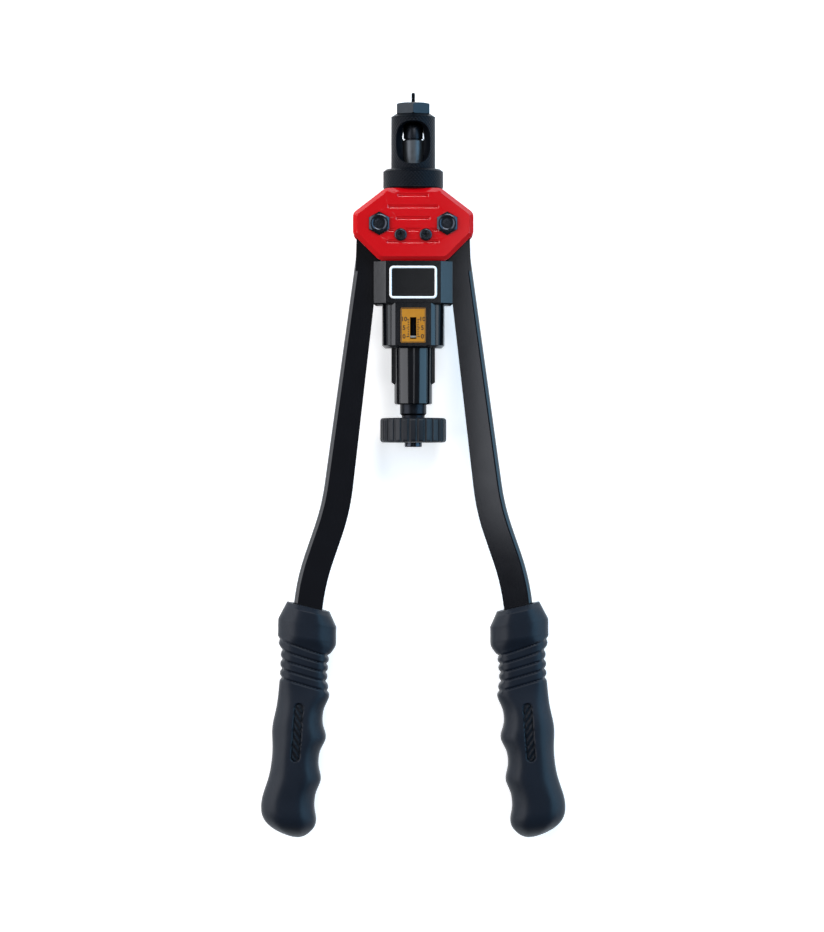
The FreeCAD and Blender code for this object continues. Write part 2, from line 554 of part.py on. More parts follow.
# ---------------------------------------------------------------------- draw train
def draw_yoke():
    """The yoke: two cheeks either side of the levers, joined round the draw tube, forked for the drive pins."""
    pin_slot = DRIVE_PIN_D / 2 + DRIVE_SLOT_GAP
    end_x = COVER_HALF_WIDTH - COVER_RIM - SIDE_GAP
    right = [
        (CORE_HALF_WIDTH + 0.4, YOKE_FOOT_Y, 0), (PIVOT_X - 1.6, -17.8, 1.5), (PIVOT_X + 2.0, -17.8, 3),
        (DRIVE_PIN_X + 0.5, -12.0, 2), (end_x, -8.2, 1), (end_x, -1.6, 0.6),
        (DRIVE_PIN_X - 0.2, 1.0, 2), (PIVOT_X + 4.6, 4.4, 2), (PIVOT_X + 1.2, 7.4, 2), (PIVOT_X - 2.2, 7.0, 1.5),
        (CORE_HALF_WIDTH + 0.4, YOKE_TOP_Y, 0),
    ]
    outline = right + [(-x, y, r) for x, y, r in reversed(right)]
    room = inside_cover(YOKE_IN_Z - 1, YOKE_OUT_Z + 1).translated(point(0, -STROKE - SIDE_GAP))
    cheek = plate(outline, YOKE_IN_Z, YOKE_OUT_Z).common(room)
    waist = PIVOT_X - LEVER_HUB_R - SIDE_GAP
    hub = block(-waist, waist, YOKE_FOOT_Y, YOKE_TOP_Y, -YOKE_OUT_Z, YOKE_OUT_Z)
    yoke = hub.fuse([cheek, mirror_z(cheek)])
    slot_r = BOLT_D / 2 + SIDE_GAP
    end_play = 4 * RUN_FIT
    for side in (1, -1):
        x = side * PIVOT_X
        for end_y in (end_play, -STROKE - end_play):
            yoke = yoke.cut(rod_z(2 * slot_r, x, end_y, -FAR, FAR))
        yoke = yoke.cut(block(x - slot_r, x + slot_r, -STROKE - end_play, end_play, -FAR, FAR))
        inner = side * (DRIVE_PIN_X - DRIVE_SLOT_GAP)
        yoke = yoke.cut(rod_z(2 * pin_slot, inner, DRIVE_PIN_Y, -FAR, FAR))
        x_low, x_high = sorted((inner, side * FAR))
        yoke = yoke.cut(block(x_low, x_high, DRIVE_PIN_Y - pin_slot, DRIVE_PIN_Y + pin_slot, -FAR, FAR))
    return yoke.cut(rod_y(YOKE_SPIGOT_D, YOKE_FOOT_Y - 1, YOKE_TOP_Y + 1))


def draw_tube():
    """The draw tube: screwed into the yoke, it slides in the body and carries the thrust bearing."""
    tube = rod_y(DRAW_TUBE_D, TUBE_FOOT_Y, YOKE_FOOT_Y).fuse(rod_y(YOKE_SPIGOT_D, YOKE_FOOT_Y, YOKE_TOP_Y))
    tube = tube.cut(rod_y(SPINDLE_D + 2 * RUN_FIT, TUBE_FOOT_Y - 1, YOKE_TOP_Y + 1))
    return tube.cut(stroke_pointer())


def stroke_pointer():
    """A key set in the draw tube. It shows in the scale's slot and keeps the yoke from turning."""
    half = SLOT_WIDTH / 2 - 2 * RUN_FIT
    return block(-half, half, POINTER_Y - POINTER_HEIGHT / 2, POINTER_Y + POINTER_HEIGHT / 2,
                 DRAW_TUBE_D / 2 - POINTER_ROOT, SCALE_FLAT_Z - POINTER_SUNK)


def thrust_race(y_top):
    bore = SPINDLE_D / 2 + 2 * RUN_FIT
    outer = DRAW_TUBE_D / 2 - 2 * RUN_FIT
    return rod_y(2 * outer, y_top - RACE_THICK, y_top).cut(rod_y(2 * bore, y_top - RACE_THICK - 1, y_top + 1))


def ball_centres():
    y = TUBE_FOOT_Y - RACE_THICK - 1.0
    for n in range(BALL_COUNT):
        angle = 2 * math.pi * n / BALL_COUNT
        yield point(BALL_CIRCLE_D / 2 * math.cos(angle), y, BALL_CIRCLE_D / 2 * math.sin(angle))


def thrust_balls():
    return [Part.makeSphere(BALL_D / 2, centre) for centre in ball_centres()]


def thrust_cage():
    """Brass cage that spaces the balls."""
    y = TUBE_FOOT_Y - RACE_THICK - 1.0
    cage = rod_y(BALL_CIRCLE_D + 2 * CAGE_HALF, y - CAGE_THICK / 2, y + CAGE_THICK / 2)
    cage = cage.cut(rod_y(BALL_CIRCLE_D - 2 * CAGE_HALF, y - 1, y + 1))
    for centre in ball_centres():
        cage = cage.cut(rod_y(BALL_D + 2 * CAGE_PLAY, y - 1, y + 1, centre.x, centre.z))
    return cage


def spindle():
    """The draw spindle: a thin shaft through the yoke, a thick journal in the tail and a square for the knob."""
    square = KNOB_SQUARE / 2
    shaft = turned([
        (0, KNOB_TOP_Y), (JOURNAL_D / 2 - 1.0, KNOB_TOP_Y), (JOURNAL_D / 2 - 1.0, JOURNAL_FOOT_Y - 0.3),
        (JOURNAL_D / 2, JOURNAL_FOOT_Y + 0.8), (JOURNAL_D / 2, FLANGE_Y), (SPINDLE_D / 2, FLANGE_Y),
        (SPINDLE_D / 2, YOKE_TOP_Y + 0.1), (CHUCK_THREAD_D / 2, YOKE_TOP_Y + 0.1),
        (CHUCK_THREAD_D / 2, CHUCK_THREAD_TOP_Y), (0, CHUCK_THREAD_TOP_Y),
    ])
    shaft = shaft.fuse(block(-square, square, KNOB_FOOT_Y + 0.6, KNOB_TOP_Y + 1, -square, square))
    return shaft.cut(rod_y(KNOB_SCREW_D, KNOB_FOOT_Y, KNOB_TOP_Y + 1))


def mandrel_chuck():
    """The chuck, screwed on the spindle, which shows in the nose window."""
    half = CHUCK_D / 2
    foot = YOKE_TOP_Y + 0.1
    chuck = turned([(0, foot), (half - CHUCK_BEVEL, foot), (half, foot + CHUCK_BEVEL),
                    (half, CHUCK_TOP_Y - CHUCK_BEVEL), (half - CHUCK_BEVEL, CHUCK_TOP_Y), (0, CHUCK_TOP_Y)])
    chuck = chuck.cut(rod_y(CHUCK_THREAD_D, 0, CHUCK_THREAD_TOP_Y))
    return chuck.cut(rod_y(TANG_D, TANG_FOOT_Y - SIDE_GAP, CHUCK_TOP_Y + 1))


def mandrel():
    """The mandrel: tang, collar, cone and the thin threaded end that a rivet nut screws on to."""
    deep, wide = COLLAR_GROOVE
    collar, cone_end = COLLAR_D / 2, COLLAR_TOP_Y + MANDREL_CONE
    return turned([
        (0, TANG_FOOT_Y), (TANG_D / 2, TANG_FOOT_Y), (TANG_D / 2, CHUCK_TOP_Y),
        (collar - deep, CHUCK_TOP_Y), (collar - deep, CHUCK_TOP_Y + wide), (collar, CHUCK_TOP_Y + wide + 0.2),
        (collar, COLLAR_TOP_Y), (SHANK_D, cone_end - 0.8), (SHANK_D / 2, cone_end), (SHANK_D / 2, ANVIL_FACE_Y),
        (MANDREL_D / 2, ANVIL_FACE_Y), (MANDREL_D / 2, TIP_Y - MANDREL_END_BEVEL),
        (MANDREL_D / 2 - MANDREL_END_BEVEL, TIP_Y), (0, TIP_Y),
    ])


def knob():
    """Fluted knob on the spindle's square."""
    half = KNOB_D / 2
    disc = rod_y(KNOB_D, KNOB_FOOT_Y, KNOB_TOP_Y)
    disc = disc.makeFillet(KNOB_RIM_R, [e for e in disc.Edges if e.BoundBox.YLength < 1e-6])
    for n in range(KNOB_FLUTES):
        angle = 2 * math.pi * (n + 0.5) / KNOB_FLUTES + math.pi / 2
        reach = half + KNOB_FLUTE_R * 0.35
        disc = disc.cut(rod_y(2 * KNOB_FLUTE_R, KNOB_FOOT_Y - 1, KNOB_TOP_Y + 1,
                              reach * math.cos(angle), reach * math.sin(angle)))
    dish = rod_y(KNOB_D - 2 * KNOB_DISH_WALL, KNOB_FOOT_Y - 1, KNOB_FOOT_Y + KNOB_DISH)
    disc = disc.cut(dish.cut(rod_y(KNOB_HUB_D, KNOB_FOOT_Y - 2, KNOB_TOP_Y)))
    square = KNOB_SQUARE / 2
    return disc.cut(block(-square, square, KNOB_FOOT_Y - 1, KNOB_TOP_Y + 1, -square, square))


def knob_screw():
    """Socket head screw that holds the knob on."""
    head = rod_y(KNOB_SCREW_HEAD_D, KNOB_SCREW_Y, KNOB_FOOT_Y)
    head = head.makeFillet(0.5, [e for e in head.Edges if abs(e.BoundBox.YMax - KNOB_SCREW_Y) < 1e-4])
    screw = head.fuse(rod_y(KNOB_SCREW_D, KNOB_FOOT_Y, KNOB_TOP_Y))
    radius = KNOB_SCREW_SOCKET_AF / math.sqrt(3)
    corners = []
    for n in range(6):
        angle = math.radians(60 * n)
        corners.append(point(radius * math.cos(angle), KNOB_SCREW_Y - 1, radius * math.sin(angle)))
    socket = Part.Face(Part.makePolygon([*corners, corners[0]])).extrude(point(0, KNOB_SCREW_SOCKET + 1, 0))
    return screw.cut(socket)


# ---------------------------------------------------------------------- levers and grips
def lever_bar():
    """The bar of the right lever: it widens down to the first bend and keeps its width into the grip."""
    width_at = (LEVER_TOP_WIDTH, LEVER_WIDTH, LEVER_WIDTH, LEVER_WIDTH - 1.0)
    outer, inner = [], []
    last = len(LEVER_AXIS) - 1
    for n, (x, y) in enumerate(LEVER_AXIS):
        before = LEVER_AXIS[max(n - 1, 0)]
        after = LEVER_AXIS[min(n + 1, last)]
        a = math.atan2(before[0] - x, y - before[1]) if n else None
        b = math.atan2(x - after[0], after[1] - y) if n < last else None
        a = b if a is None else a
        b = a if b is None else b
        lean = (a + b) / 2
        reach = width_at[n] / 2 / math.cos((a - b) / 2)
        normal = (math.cos(lean), math.sin(lean))
        radius = LEVER_BEND_R if 0 < n < last else 0
        outer.append((x - normal[0] * reach * lever_side(normal), y - normal[1] * reach * lever_side(normal), radius))
        inner.append((x + normal[0] * reach * lever_side(normal), y + normal[1] * reach * lever_side(normal), radius))
    half = LEVER_THICK / 2
    bar = plate(outer + inner[::-1], -half, half)
    round_edges = [e for e in bar.Edges if on_outer_side(e)]
    return bar.makeFillet(LEVER_ROUND, round_edges)


def lever_side(normal):
    return -1 if normal[0] > 0 else 1


def axis_x(y):
    """The bar's middle line at a station."""
    for (x0, y0), (x1, y1) in zip(LEVER_AXIS, LEVER_AXIS[1:]):
        if y >= y1:
            return x0 + (x1 - x0) * (y - y0) / (y1 - y0)
    return LEVER_AXIS[-1][0]


def on_outer_side(edge):
    box = edge.BoundBox
    flat = box.ZLength < 1e-6 and box.YLength > 5
    middle = edge.valueAt((edge.FirstParameter + edge.LastParameter) / 2)
    return flat and middle.x > axis_x(middle.y) + 2


def right_lever():
    """Forged lever: hub on the pivot bolt's bush, a lobe outboard of it for the drive pin, and the long bar."""
    half = LEVER_THICK / 2
    hub = rod_z(2 * LEVER_HUB_R, PIVOT_X, 0, -half, half)
    lobe = rod_z(DRIVE_PIN_D + 2 * LEVER_PIN_WALL, DRIVE_PIN_X, DRIVE_PIN_Y, -half, half)
    root_x = axis_x(-30.0)
    neck = plate([
        (PIVOT_X - LEVER_HUB_R * 0.98, -1.0, 0), (root_x - LEVER_TOP_WIDTH / 2, LEVER_NECK_FOOT_Y, 0),
        (root_x + 5.6, LEVER_NECK_FOOT_Y, 0),
        (DRIVE_PIN_X + LEVER_PIN_WALL + 2.0, DRIVE_PIN_Y - 1.5, 0), (PIVOT_X + 2.0, LEVER_HUB_R * 0.97, 0),
    ], -half, half)
    lever = lever_bar().cut(block(0, FAR, LEVER_BAR_TOP_Y, FAR, -half - 1, half + 1)).fuse([hub, lobe, neck])
    lever = lever.cut(rod_z(BUSH_D, PIVOT_X, 0, -half - 1, half + 1))
    return lever.cut(rod_z(DRIVE_PIN_D, DRIVE_PIN_X, DRIVE_PIN_Y, -half - 1, half + 1))


def right_pivot_bush():
    half = LEVER_THICK / 2
    return rod_z(BUSH_D, PIVOT_X, 0, -half, half).cut(rod_z(BOLT_D + 2 * RUN_FIT, PIVOT_X, 0, -half - 1, half + 1))


def right_drive_pin():
    reach = YOKE_OUT_Z - 0.1
    return rod_z(DRIVE_PIN_D, DRIVE_PIN_X, DRIVE_PIN_Y, -reach, reach)


def grip_halves(s):
    """Half widths of the grip at a distance s from its mouth: (away from the tool's axis, towards it, thickness)."""
    def ease(a, b, start, end):
        t = min(max((s - start) / (end - start), 0), 1)
        return a + (b - a) * t * t * (3 - 2 * t)

    outer = ease(GRIP_COLLAR_HALF, GRIP_WAIST_HALF, GRIP_COLLAR_LENGTH - 7, GRIP_COLLAR_LENGTH + 4)
    outer += ease(0, GRIP_PALM_HALF - GRIP_WAIST_HALF, 45, 65) - ease(0, 1.8, 72, 92) + ease(0, 3.9, 94, 114)
    inner = ease(GRIP_COLLAR_HALF, GRIP_WAIST_HALF, GRIP_COLLAR_LENGTH - 5, GRIP_COLLAR_LENGTH + 6)
    wave = GRIP_FINGER_DEPTH * math.cos(2 * math.pi * (s - 75) / GRIP_FINGER_PITCH)
    inner += ease(0, 2.8 + wave, 38, 50)
    thick = ease(GRIP_HALF_THICK, GRIP_HALF_THICK - 2.2, GRIP_COLLAR_LENGTH - 6, GRIP_COLLAR_LENGTH + 5)
    thick += ease(0, 1.8, 48, 75)
    mouth = math.sqrt(max(1 - (1 - min(s / 5.0, 1)) ** 2, 0)) * 0.16 + 0.84
    left = max(GRIP_LENGTH - s, 0.0) / 17.0
    tail = math.sqrt(max(1 - (1 - min(left, 1)) ** 2, 0)) * 0.78 + 0.22
    return outer * mouth * tail, inner * mouth * tail, thick * mouth * tail


def grip_section(s):
    """One closed section of the right grip, a rounded rectangle with soft sides, at a distance s from the mouth."""
    outer, inner, thick = grip_halves(s)
    tilt = math.radians(GRIP_TILT)
    lean = tilt + math.radians(GRIP_MOUTH_LEAN) * max(1 - s / 36.0, 0)
    corners = 28
    points = []
    for n in range(corners):
        angle = 2 * math.pi * n / corners
        c, d = math.cos(angle), math.sin(angle)
        power = 2 / 2.7
        across = math.copysign(abs(c) ** power, c) * (outer if c > 0 else inner)
        up = math.copysign(abs(d) ** power, d) * thick
        points.append(point(GRIP_MOUTH_X + s * math.sin(tilt) + across * math.cos(lean),
                            GRIP_MOUTH_Y - s * math.cos(tilt) + across * math.sin(lean), up))
    curve = Part.BSplineCurve()
    curve.interpolate(points, PeriodicFlag=True)
    return Part.Wire([curve.toShape()])


def right_grip():
    """Moulded rubber grip, pushed on over the end of the lever."""
    stations = [0.0, 1.2, 4.0, 12.0, 18.0, 24.0, 30.0]
    step = GRIP_FINGER_PITCH / 4
    s = 38.7
    while s < GRIP_LENGTH - 14:
        stations.append(s)
        s += step
    stations += [GRIP_LENGTH - f for f in (9.0, 5.0, 2.2, 0.7, 0.0)]
    grip = Part.makeLoft([grip_section(s) for s in stations], True, False)
    return grip.cut(lever_bar())


# ---------------------------------------------------------------------- write
def main():
    os.makedirs("parts", exist_ok=True)
    front = cover()
    save("front_cover", front)
    save("rear_cover", mirror_z(front))
    save("front_cover_screws", cover_screws())
    save("rear_cover_screws", [mirror_z(s) for s in cover_screws()])
    save("pivot_bolts", pivot_bolts())
    save("pivot_nuts", pivot_nuts())
    save("body_casting", body_casting())
    save("name_plate", name_plate())
    save("scale_plate", scale_plate())
    save("tail_bush", tail_bush())
    save("nose_sleeve", nose_sleeve())
    save("nose_anvil", nose_anvil())
    save("nose_locknut", nose_locknut())
    save("draw_yoke", draw_yoke())
    save("draw_tube", draw_tube())
    save("stroke_pointer", stroke_pointer())
    save("thrust_race_upper", thrust_race(TUBE_FOOT_Y))
    save("thrust_race_lower", thrust_race(FLANGE_Y + RACE_THICK))
    save("thrust_balls", thrust_balls())
    save("thrust_cage", thrust_cage())
    save("spindle", spindle())
    save("mandrel_chuck", mandrel_chuck())
    save("mandrel", mandrel())
    save("knob", knob())
    save("knob_screw", knob_screw())
    for name, piece in (("lever", right_lever()), ("pivot_bush", right_pivot_bush()),
                        ("drive_pin", right_drive_pin()), ("grip", right_grip())):
        save(f"right_{name}", piece)
        save(f"left_{name}", mirror_x(piece))


main()
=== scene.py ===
import json
import math

import bmesh
import bpy
import numpy as np
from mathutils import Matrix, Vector

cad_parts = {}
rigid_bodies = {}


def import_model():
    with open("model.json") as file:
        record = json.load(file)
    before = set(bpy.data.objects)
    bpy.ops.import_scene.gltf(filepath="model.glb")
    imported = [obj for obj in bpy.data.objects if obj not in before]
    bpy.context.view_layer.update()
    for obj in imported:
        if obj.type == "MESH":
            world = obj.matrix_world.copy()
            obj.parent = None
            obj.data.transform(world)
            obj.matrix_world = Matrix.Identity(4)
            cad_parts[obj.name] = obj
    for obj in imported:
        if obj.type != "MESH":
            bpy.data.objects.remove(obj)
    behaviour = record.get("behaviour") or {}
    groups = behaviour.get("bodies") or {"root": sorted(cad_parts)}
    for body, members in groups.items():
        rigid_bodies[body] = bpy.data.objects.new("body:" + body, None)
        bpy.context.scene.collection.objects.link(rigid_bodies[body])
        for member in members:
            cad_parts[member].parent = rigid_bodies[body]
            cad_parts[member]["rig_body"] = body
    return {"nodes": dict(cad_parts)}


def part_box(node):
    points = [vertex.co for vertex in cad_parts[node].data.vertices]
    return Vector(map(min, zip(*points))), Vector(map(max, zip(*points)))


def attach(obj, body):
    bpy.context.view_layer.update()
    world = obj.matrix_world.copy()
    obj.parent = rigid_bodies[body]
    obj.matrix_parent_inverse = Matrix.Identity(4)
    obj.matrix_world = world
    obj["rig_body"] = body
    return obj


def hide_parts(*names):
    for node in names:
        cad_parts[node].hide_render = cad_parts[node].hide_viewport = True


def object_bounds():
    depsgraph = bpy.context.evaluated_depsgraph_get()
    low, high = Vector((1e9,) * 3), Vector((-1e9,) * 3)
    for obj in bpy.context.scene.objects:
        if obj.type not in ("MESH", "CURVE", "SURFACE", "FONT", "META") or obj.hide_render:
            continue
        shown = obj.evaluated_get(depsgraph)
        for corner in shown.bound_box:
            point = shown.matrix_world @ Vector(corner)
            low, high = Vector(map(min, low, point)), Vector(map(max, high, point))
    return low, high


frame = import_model()
cad_box = [list(corner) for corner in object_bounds()]


# -------------------------------------------------------------------------------- table top, light and camera
# The tool lies on its back on a white laminate table top, between a neutral panel on its left and a cool one
# on its right. A small soft box is above its nose, and a dim strip, which the right lever mirrors, is high
# up. The camera hangs straight over the label side.

scene = bpy.context.scene
scene.view_settings.view_transform = "Standard"
TOOL_LOW, TOOL_HIGH = (Vector(corner) for corner in cad_box)
AXIS_Z = (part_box("knob")[0].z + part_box("knob")[1].z) / 2
MM = 0.001


def linear(hex_colour):
    """The linear colour for an sRGB hex value: each channel c is (c + 0.055) / 1.055 raised to 2.4."""
    channels = [int(hex_colour[n:n + 2], 16) / 255 for n in (0, 2, 4)]
    return (*[c / 12.92 if c < 0.04045 else ((c + 0.055) / 1.055) ** 2.4 for c in channels], 1.0)


def add_node(tree, kind, inputs=(), **settings):
    """Adds one shader node, with its settings, and its inputs as values or as links from other nodes."""
    node = tree.nodes.new(kind)
    for name, value in settings.items():
        setattr(node, name, value)
    for name, value in dict(inputs).items():
        if isinstance(value, bpy.types.NodeSocket):
            tree.links.new(value, node.inputs[name])
        else:
            node.inputs[name].default_value = value
    return node


def new_material(name):
    """An empty material, its node tree and its Principled shader, already joined to the output."""
    material = bpy.data.materials.new(name)
    material.use_nodes = True
    tree = material.node_tree
    return material, tree, tree.nodes["Principled BSDF"]


def grid_piece(name, points, around=True, caps=()):
    """A mesh through a grid of points, rows by columns. Each cell's four corners make a face, the last column
    joins the first when it goes around, and each cap closes the first or last row on its own middle point."""
    rows, columns = points.shape[:2]
    index = np.arange(rows * columns).reshape(rows, columns)
    after = np.roll(index, -1, 1) if around else index[:, 1:]
    here = index if around else index[:, :-1]
    faces = np.stack([here[:-1], after[:-1], after[1:], here[1:]], -1).reshape(-1, 4).tolist()
    places = points.reshape(-1, 3).tolist()
    for row in caps:
        ring = index[row]
        places.append(points[row].mean(0).tolist())
        pole = len(places) - 1
        ring = ring if row else ring[::-1]
        faces += [[int(a), int(b), pole] for a, b in zip(ring, np.roll(ring, -1))]
    mesh = bpy.data.meshes.new(name)
    mesh.from_pydata(places, [], faces)
    work = bmesh.new()
    work.from_mesh(mesh)
    bmesh.ops.remove_doubles(work, verts=work.verts, dist=1e-7)
    if around and caps:
        bmesh.ops.recalc_face_normals(work, faces=work.faces)
    work.to_mesh(mesh)
    work.free()
    mesh.shade_smooth()
    piece = bpy.data.objects.new(name, mesh)
    scene.collection.objects.link(piece)
    return piece


def table_top():
    """A level sheet, four times the tool's length across: x and y run evenly and z is constant."""
    half = 2 * (TOOL_HIGH.y - TOOL_LOW.y)
    x, y = np.meshgrid(np.linspace(-half, half, 9), np.linspace(-half, half, 9), indexing="ij")
    table = grid_piece("table_top", np.stack([x, y, np.full_like(x, TOOL_LOW.z)], -1), around=False)
    material, tree, shader = new_material("white_laminate_table_top")
    shader.inputs["Base Color"].default_value = linear("f4f4f4")
    shader.inputs["Roughness"].default_value = 0.7
    shader.inputs["Specular IOR Level"].default_value = 0.2
    path = add_node(tree, "ShaderNodeLightPath")
    rays = {0: path.outputs["Is Camera Ray"], 1: path.outputs["Is Glossy Ray"]}
    seen = add_node(tree, "ShaderNodeMath", rays, operation="MAXIMUM")
    fill = add_node(tree, "ShaderNodeMath", {0: seen.outputs[0], 1: 0.6}, operation="MULTIPLY")
    glow = add_node(tree, "ShaderNodeEmission", {"Color": (1, 1, 1, 1), "Strength": fill.outputs[0]})
    both = add_node(tree, "ShaderNodeAddShader", {0: shader.outputs[0], 1: glow.outputs[0]})
    tree.links.new(both.outputs[0], tree.nodes["Material Output"].inputs["Surface"])
    table.data.materials.append(material)


def soft_box(name, place, size, power, colour, aim=(0, 0)):
    """A flat lamp of that size in metres, turned to face a point on the plane through the tool's axis."""
    lamp = bpy.data.lights.new(name, "AREA")
    lamp.shape = "RECTANGLE"
    lamp.size, lamp.size_y = size
    lamp.energy = power
    lamp.color = linear(colour)[:3]
    holder = bpy.data.objects.new(name, lamp)
    holder.location = place
    holder.rotation_euler = (Vector((*aim, AXIS_Z)) - Vector(place)).to_track_quat("-Z", "Y").to_euler()
    scene.collection.objects.link(holder)


table_top()
soft_box("left_panel", (-1.15, 0.30, 0.72), (2.0, 1.4), 25.0, "f6f8ff")
soft_box("right_panel", (1.15, 0.30, 0.62), (2.0, 1.2), 27.5, "96cdf2")
soft_box("nose_soft_box", (0.30, 1.10, 1.45), (0.8, 0.5), 14.0, "ffffff")
soft_box("ceiling_strip", (0.21, 0.12, 3.0), (0.24, 0.40), 0.75, "f2f6ff", (0.21, 0.12))

world = bpy.data.worlds.new("plain_room")
scene.world = world
world.use_nodes = True
sky = world.node_tree
sky_path = add_node(sky, "ShaderNodeLightPath")
ROOM_GLOW = 0.13
sky_seen = add_node(sky, "ShaderNodeMath", {0: ROOM_GLOW, 1: sky_path.outputs["Is Camera Ray"]},
                    operation="MAXIMUM")
sky.nodes["Background"].inputs["Color"].default_value = (1, 1, 1, 1)
sky.links.new(sky_seen.outputs[0], sky.nodes["Background"].inputs["Strength"])

CAMERA_DISTANCE = 2.3
FRAME_WIDTH = 0.4787          # how much of the plane through the tool's axis the picture's width covers
camera_data = bpy.data.cameras.new("camera")
camera_data.sensor_fit = "HORIZONTAL"
camera_data.sensor_width = 36.0
camera_data.lens = camera_data.sensor_width * CAMERA_DISTANCE / FRAME_WIDTH
camera = bpy.data.objects.new("camera", camera_data)
camera.location = (-0.0007, -0.0007, AXIS_Z + CAMERA_DISTANCE)
scene.collection.objects.link(camera)
scene.camera = camera


# ----------------------------------------------------------------------------------------------- body casting
# One steel casting that carries everything: black gloss enamel over a foundry skin, thick enough to round the
# edges and leave only faint ripples, so it mirrors the soft boxes as long clean streaks.

def edge_broken(node, radius, angle=28.0, segments=3):
    """A copy of a CAD piece whose edges, where its faces meet at more than the angle, are rounded by the
    radius. Each corner's normal is the mean of its faces', weighted by area, so the large flats stay flat."""
    source = frame["nodes"][node]
    mesh = source.data.copy()
    mesh.name = node + "_finished"
    work = bmesh.new()
    work.from_mesh(mesh)
    bmesh.ops.remove_doubles(work, verts=work.verts, dist=1e-6)
    work.to_mesh(mesh)
    work.free()
    mesh.materials.clear()
    mesh.shade_smooth()
    piece = bpy.data.objects.new(node + "_finished", mesh)
    scene.collection.objects.link(piece)
    bevel = piece.modifiers.new("edge", "BEVEL")
    bevel.width = radius
    bevel.segments = segments
    bevel.limit_method = "ANGLE"
    bevel.angle_limit = math.radians(angle)
    flat = piece.modifiers.new("flat_faces", "WEIGHTED_NORMAL")
    flat.mode = "FACE_AREA"
    flat.weight = 100
    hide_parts(node)
    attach(piece, source["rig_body"])
    return piece


def fit(piece, material):
    """Gives a piece its one material."""
    piece.data.materials.clear()
    piece.data.materials.append(material)


def speckle(tree, size_mm, detail=2.0):
    """Noise on the piece's own coordinates, whose lumps are about that size in millimetres."""
    place = add_node(tree, "ShaderNodeTexCoord")
    return add_node(tree, "ShaderNodeTexNoise", {"Vector": place.outputs["Object"], "Scale": 1000.0 / size_mm,
                                                 "Detail": detail})


def two_tone(tree, shader, noise, colours, roughness):
    """Drives the shader's colour between two hex values, and its roughness a fifth either way, by a noise."""
    tint = add_node(tree, "ShaderNodeMix", {"Factor": noise.outputs["Fac"]}, data_type="RGBA")
    for socket, colour in zip([s for s in tint.inputs if s.type == "RGBA"], colours):
        socket.default_value = linear(colour)
    tree.links.new([s for s in tint.outputs if s.type == "RGBA"][0], shader.inputs["Base Color"])
    rough = add_node(tree, "ShaderNodeMapRange", {"Value": noise.outputs["Fac"], "To Min": roughness * 0.8,
                                                  "To Max": roughness * 1.2})
    tree.links.new(rough.outputs[0], shader.inputs["Roughness"])


def roughen(tree, shader, noise, strength, depth_mm):
    """Raises the surface by the noise, as a bump of that depth in millimetres."""
    bump = add_node(tree, "ShaderNodeBump", {"Height": noise.outputs["Fac"], "Strength": strength,
                                             "Distance": depth_mm * MM})
    tree.links.new(bump.outputs[0], shader.inputs["Normal"])


def gloss_enamel(name, colours, roughness, peel_mm, peel):
    """Sprayed and baked enamel: an even colour under gloss, with faint orange peel and a patchy sheen."""
    material, tree, shader = new_material(name)
    two_tone(tree, shader, speckle(tree, 14.0, 3.0), colours, roughness)
    roughen(tree, shader, speckle(tree, peel_mm, 1.0), peel, 0.4)
    shader.inputs["IOR"].default_value = 1.5
    return material


black_enamel = gloss_enamel("black_gloss_enamel_on_cast_steel", ("06070a", "0b0d12"), 0.13, 2.6, 0.02)
fit(edge_broken("body_casting", 0.5 * MM), black_enamel)


# ------------------------------------------------------------------------------------------------- draw train
# The yoke is forged and left with its scale, the draw tube is ground and blued, and the bearing's races and
# balls are polished. The bushes are sintered bronze, whose open pores hold oil and give a fine dark grain.

def worked_metal(name, colours, roughness, grain_mm, grain, metallic=1.0):
    """Bare or thinly treated metal: a cloudy colour, and a grain of that size left by the last tool."""
    material, tree, shader = new_material(name)
    two_tone(tree, shader, speckle(tree, 3.0, 4.0), colours, roughness)
    roughen(tree, shader, speckle(tree, grain_mm, 1.0), grain, 0.2)
    shader.inputs["Metallic"].default_value = metallic
    return material


def fit_inside(nodes, material):
    """Finishes CAD pieces that hardly show, as they are."""
    for node in nodes:
        fit(frame["nodes"][node], material)


forged = worked_metal("forged_steel_with_scale", ("3a3a3c", "56565a"), 0.5, 0.8, 0.2)
blued = worked_metal("ground_and_blued_steel", ("15171b", "20232a"), 0.3, 0.3, 0.05)
polished = worked_metal("polished_bearing_steel", ("b4b6b8", "c4c6c8"), 0.1, 1.5, 0.01)
bronze = worked_metal("sintered_bronze", ("8f6234", "a87845"), 0.45, 0.25, 0.25)
brass = worked_metal("pressed_brass", ("b08a3c", "bf9a4a"), 0.3, 1.0, 0.03)
fit_inside(["draw_yoke"], forged)
fit_inside(["draw_tube", "right_drive_pin", "left_drive_pin"], blued)
fit_inside(["thrust_race_upper", "thrust_race_lower", "thrust_balls"], polished)
fit_inside(["thrust_cage"], brass)
fit_inside(["tail_bush", "right_pivot_bush", "left_pivot_bush"], bronze)

turned_black = worked_metal("black_oxide_on_turned_steel", ("14161b", "1f232a"), 0.34, 0.4, 0.06, 0.8)
fit(edge_broken("spindle", 0.25 * MM), turned_black)

hardened = worked_metal("hardened_and_tempered_steel", ("4a4d50", "5a5e62"), 0.44, 0.5, 0.06, 0.85)
fit(edge_broken("mandrel_chuck", 0.2 * MM), hardened)

key_steel = worked_metal("bright_key_steel", ("c9c9c6", "dadad7"), 0.35, 0.3, 0.04)
fit_inside(["stroke_pointer"], key_steel)


# ---------------------------------------------------------------------------------------------------- mandrel
# A cap screw's cousin: turned collar and cone, and a thin end with a rolled thread that the rivet nut runs on
# to. Heat treated and black.

THREAD_PITCH = 0.45 * MM
THREAD_DEPTH = 0.26 * MM
THREAD_LENGTH = 6.0 * MM
THREAD_ROWS = 97
THREAD_R = 1.2 * MM


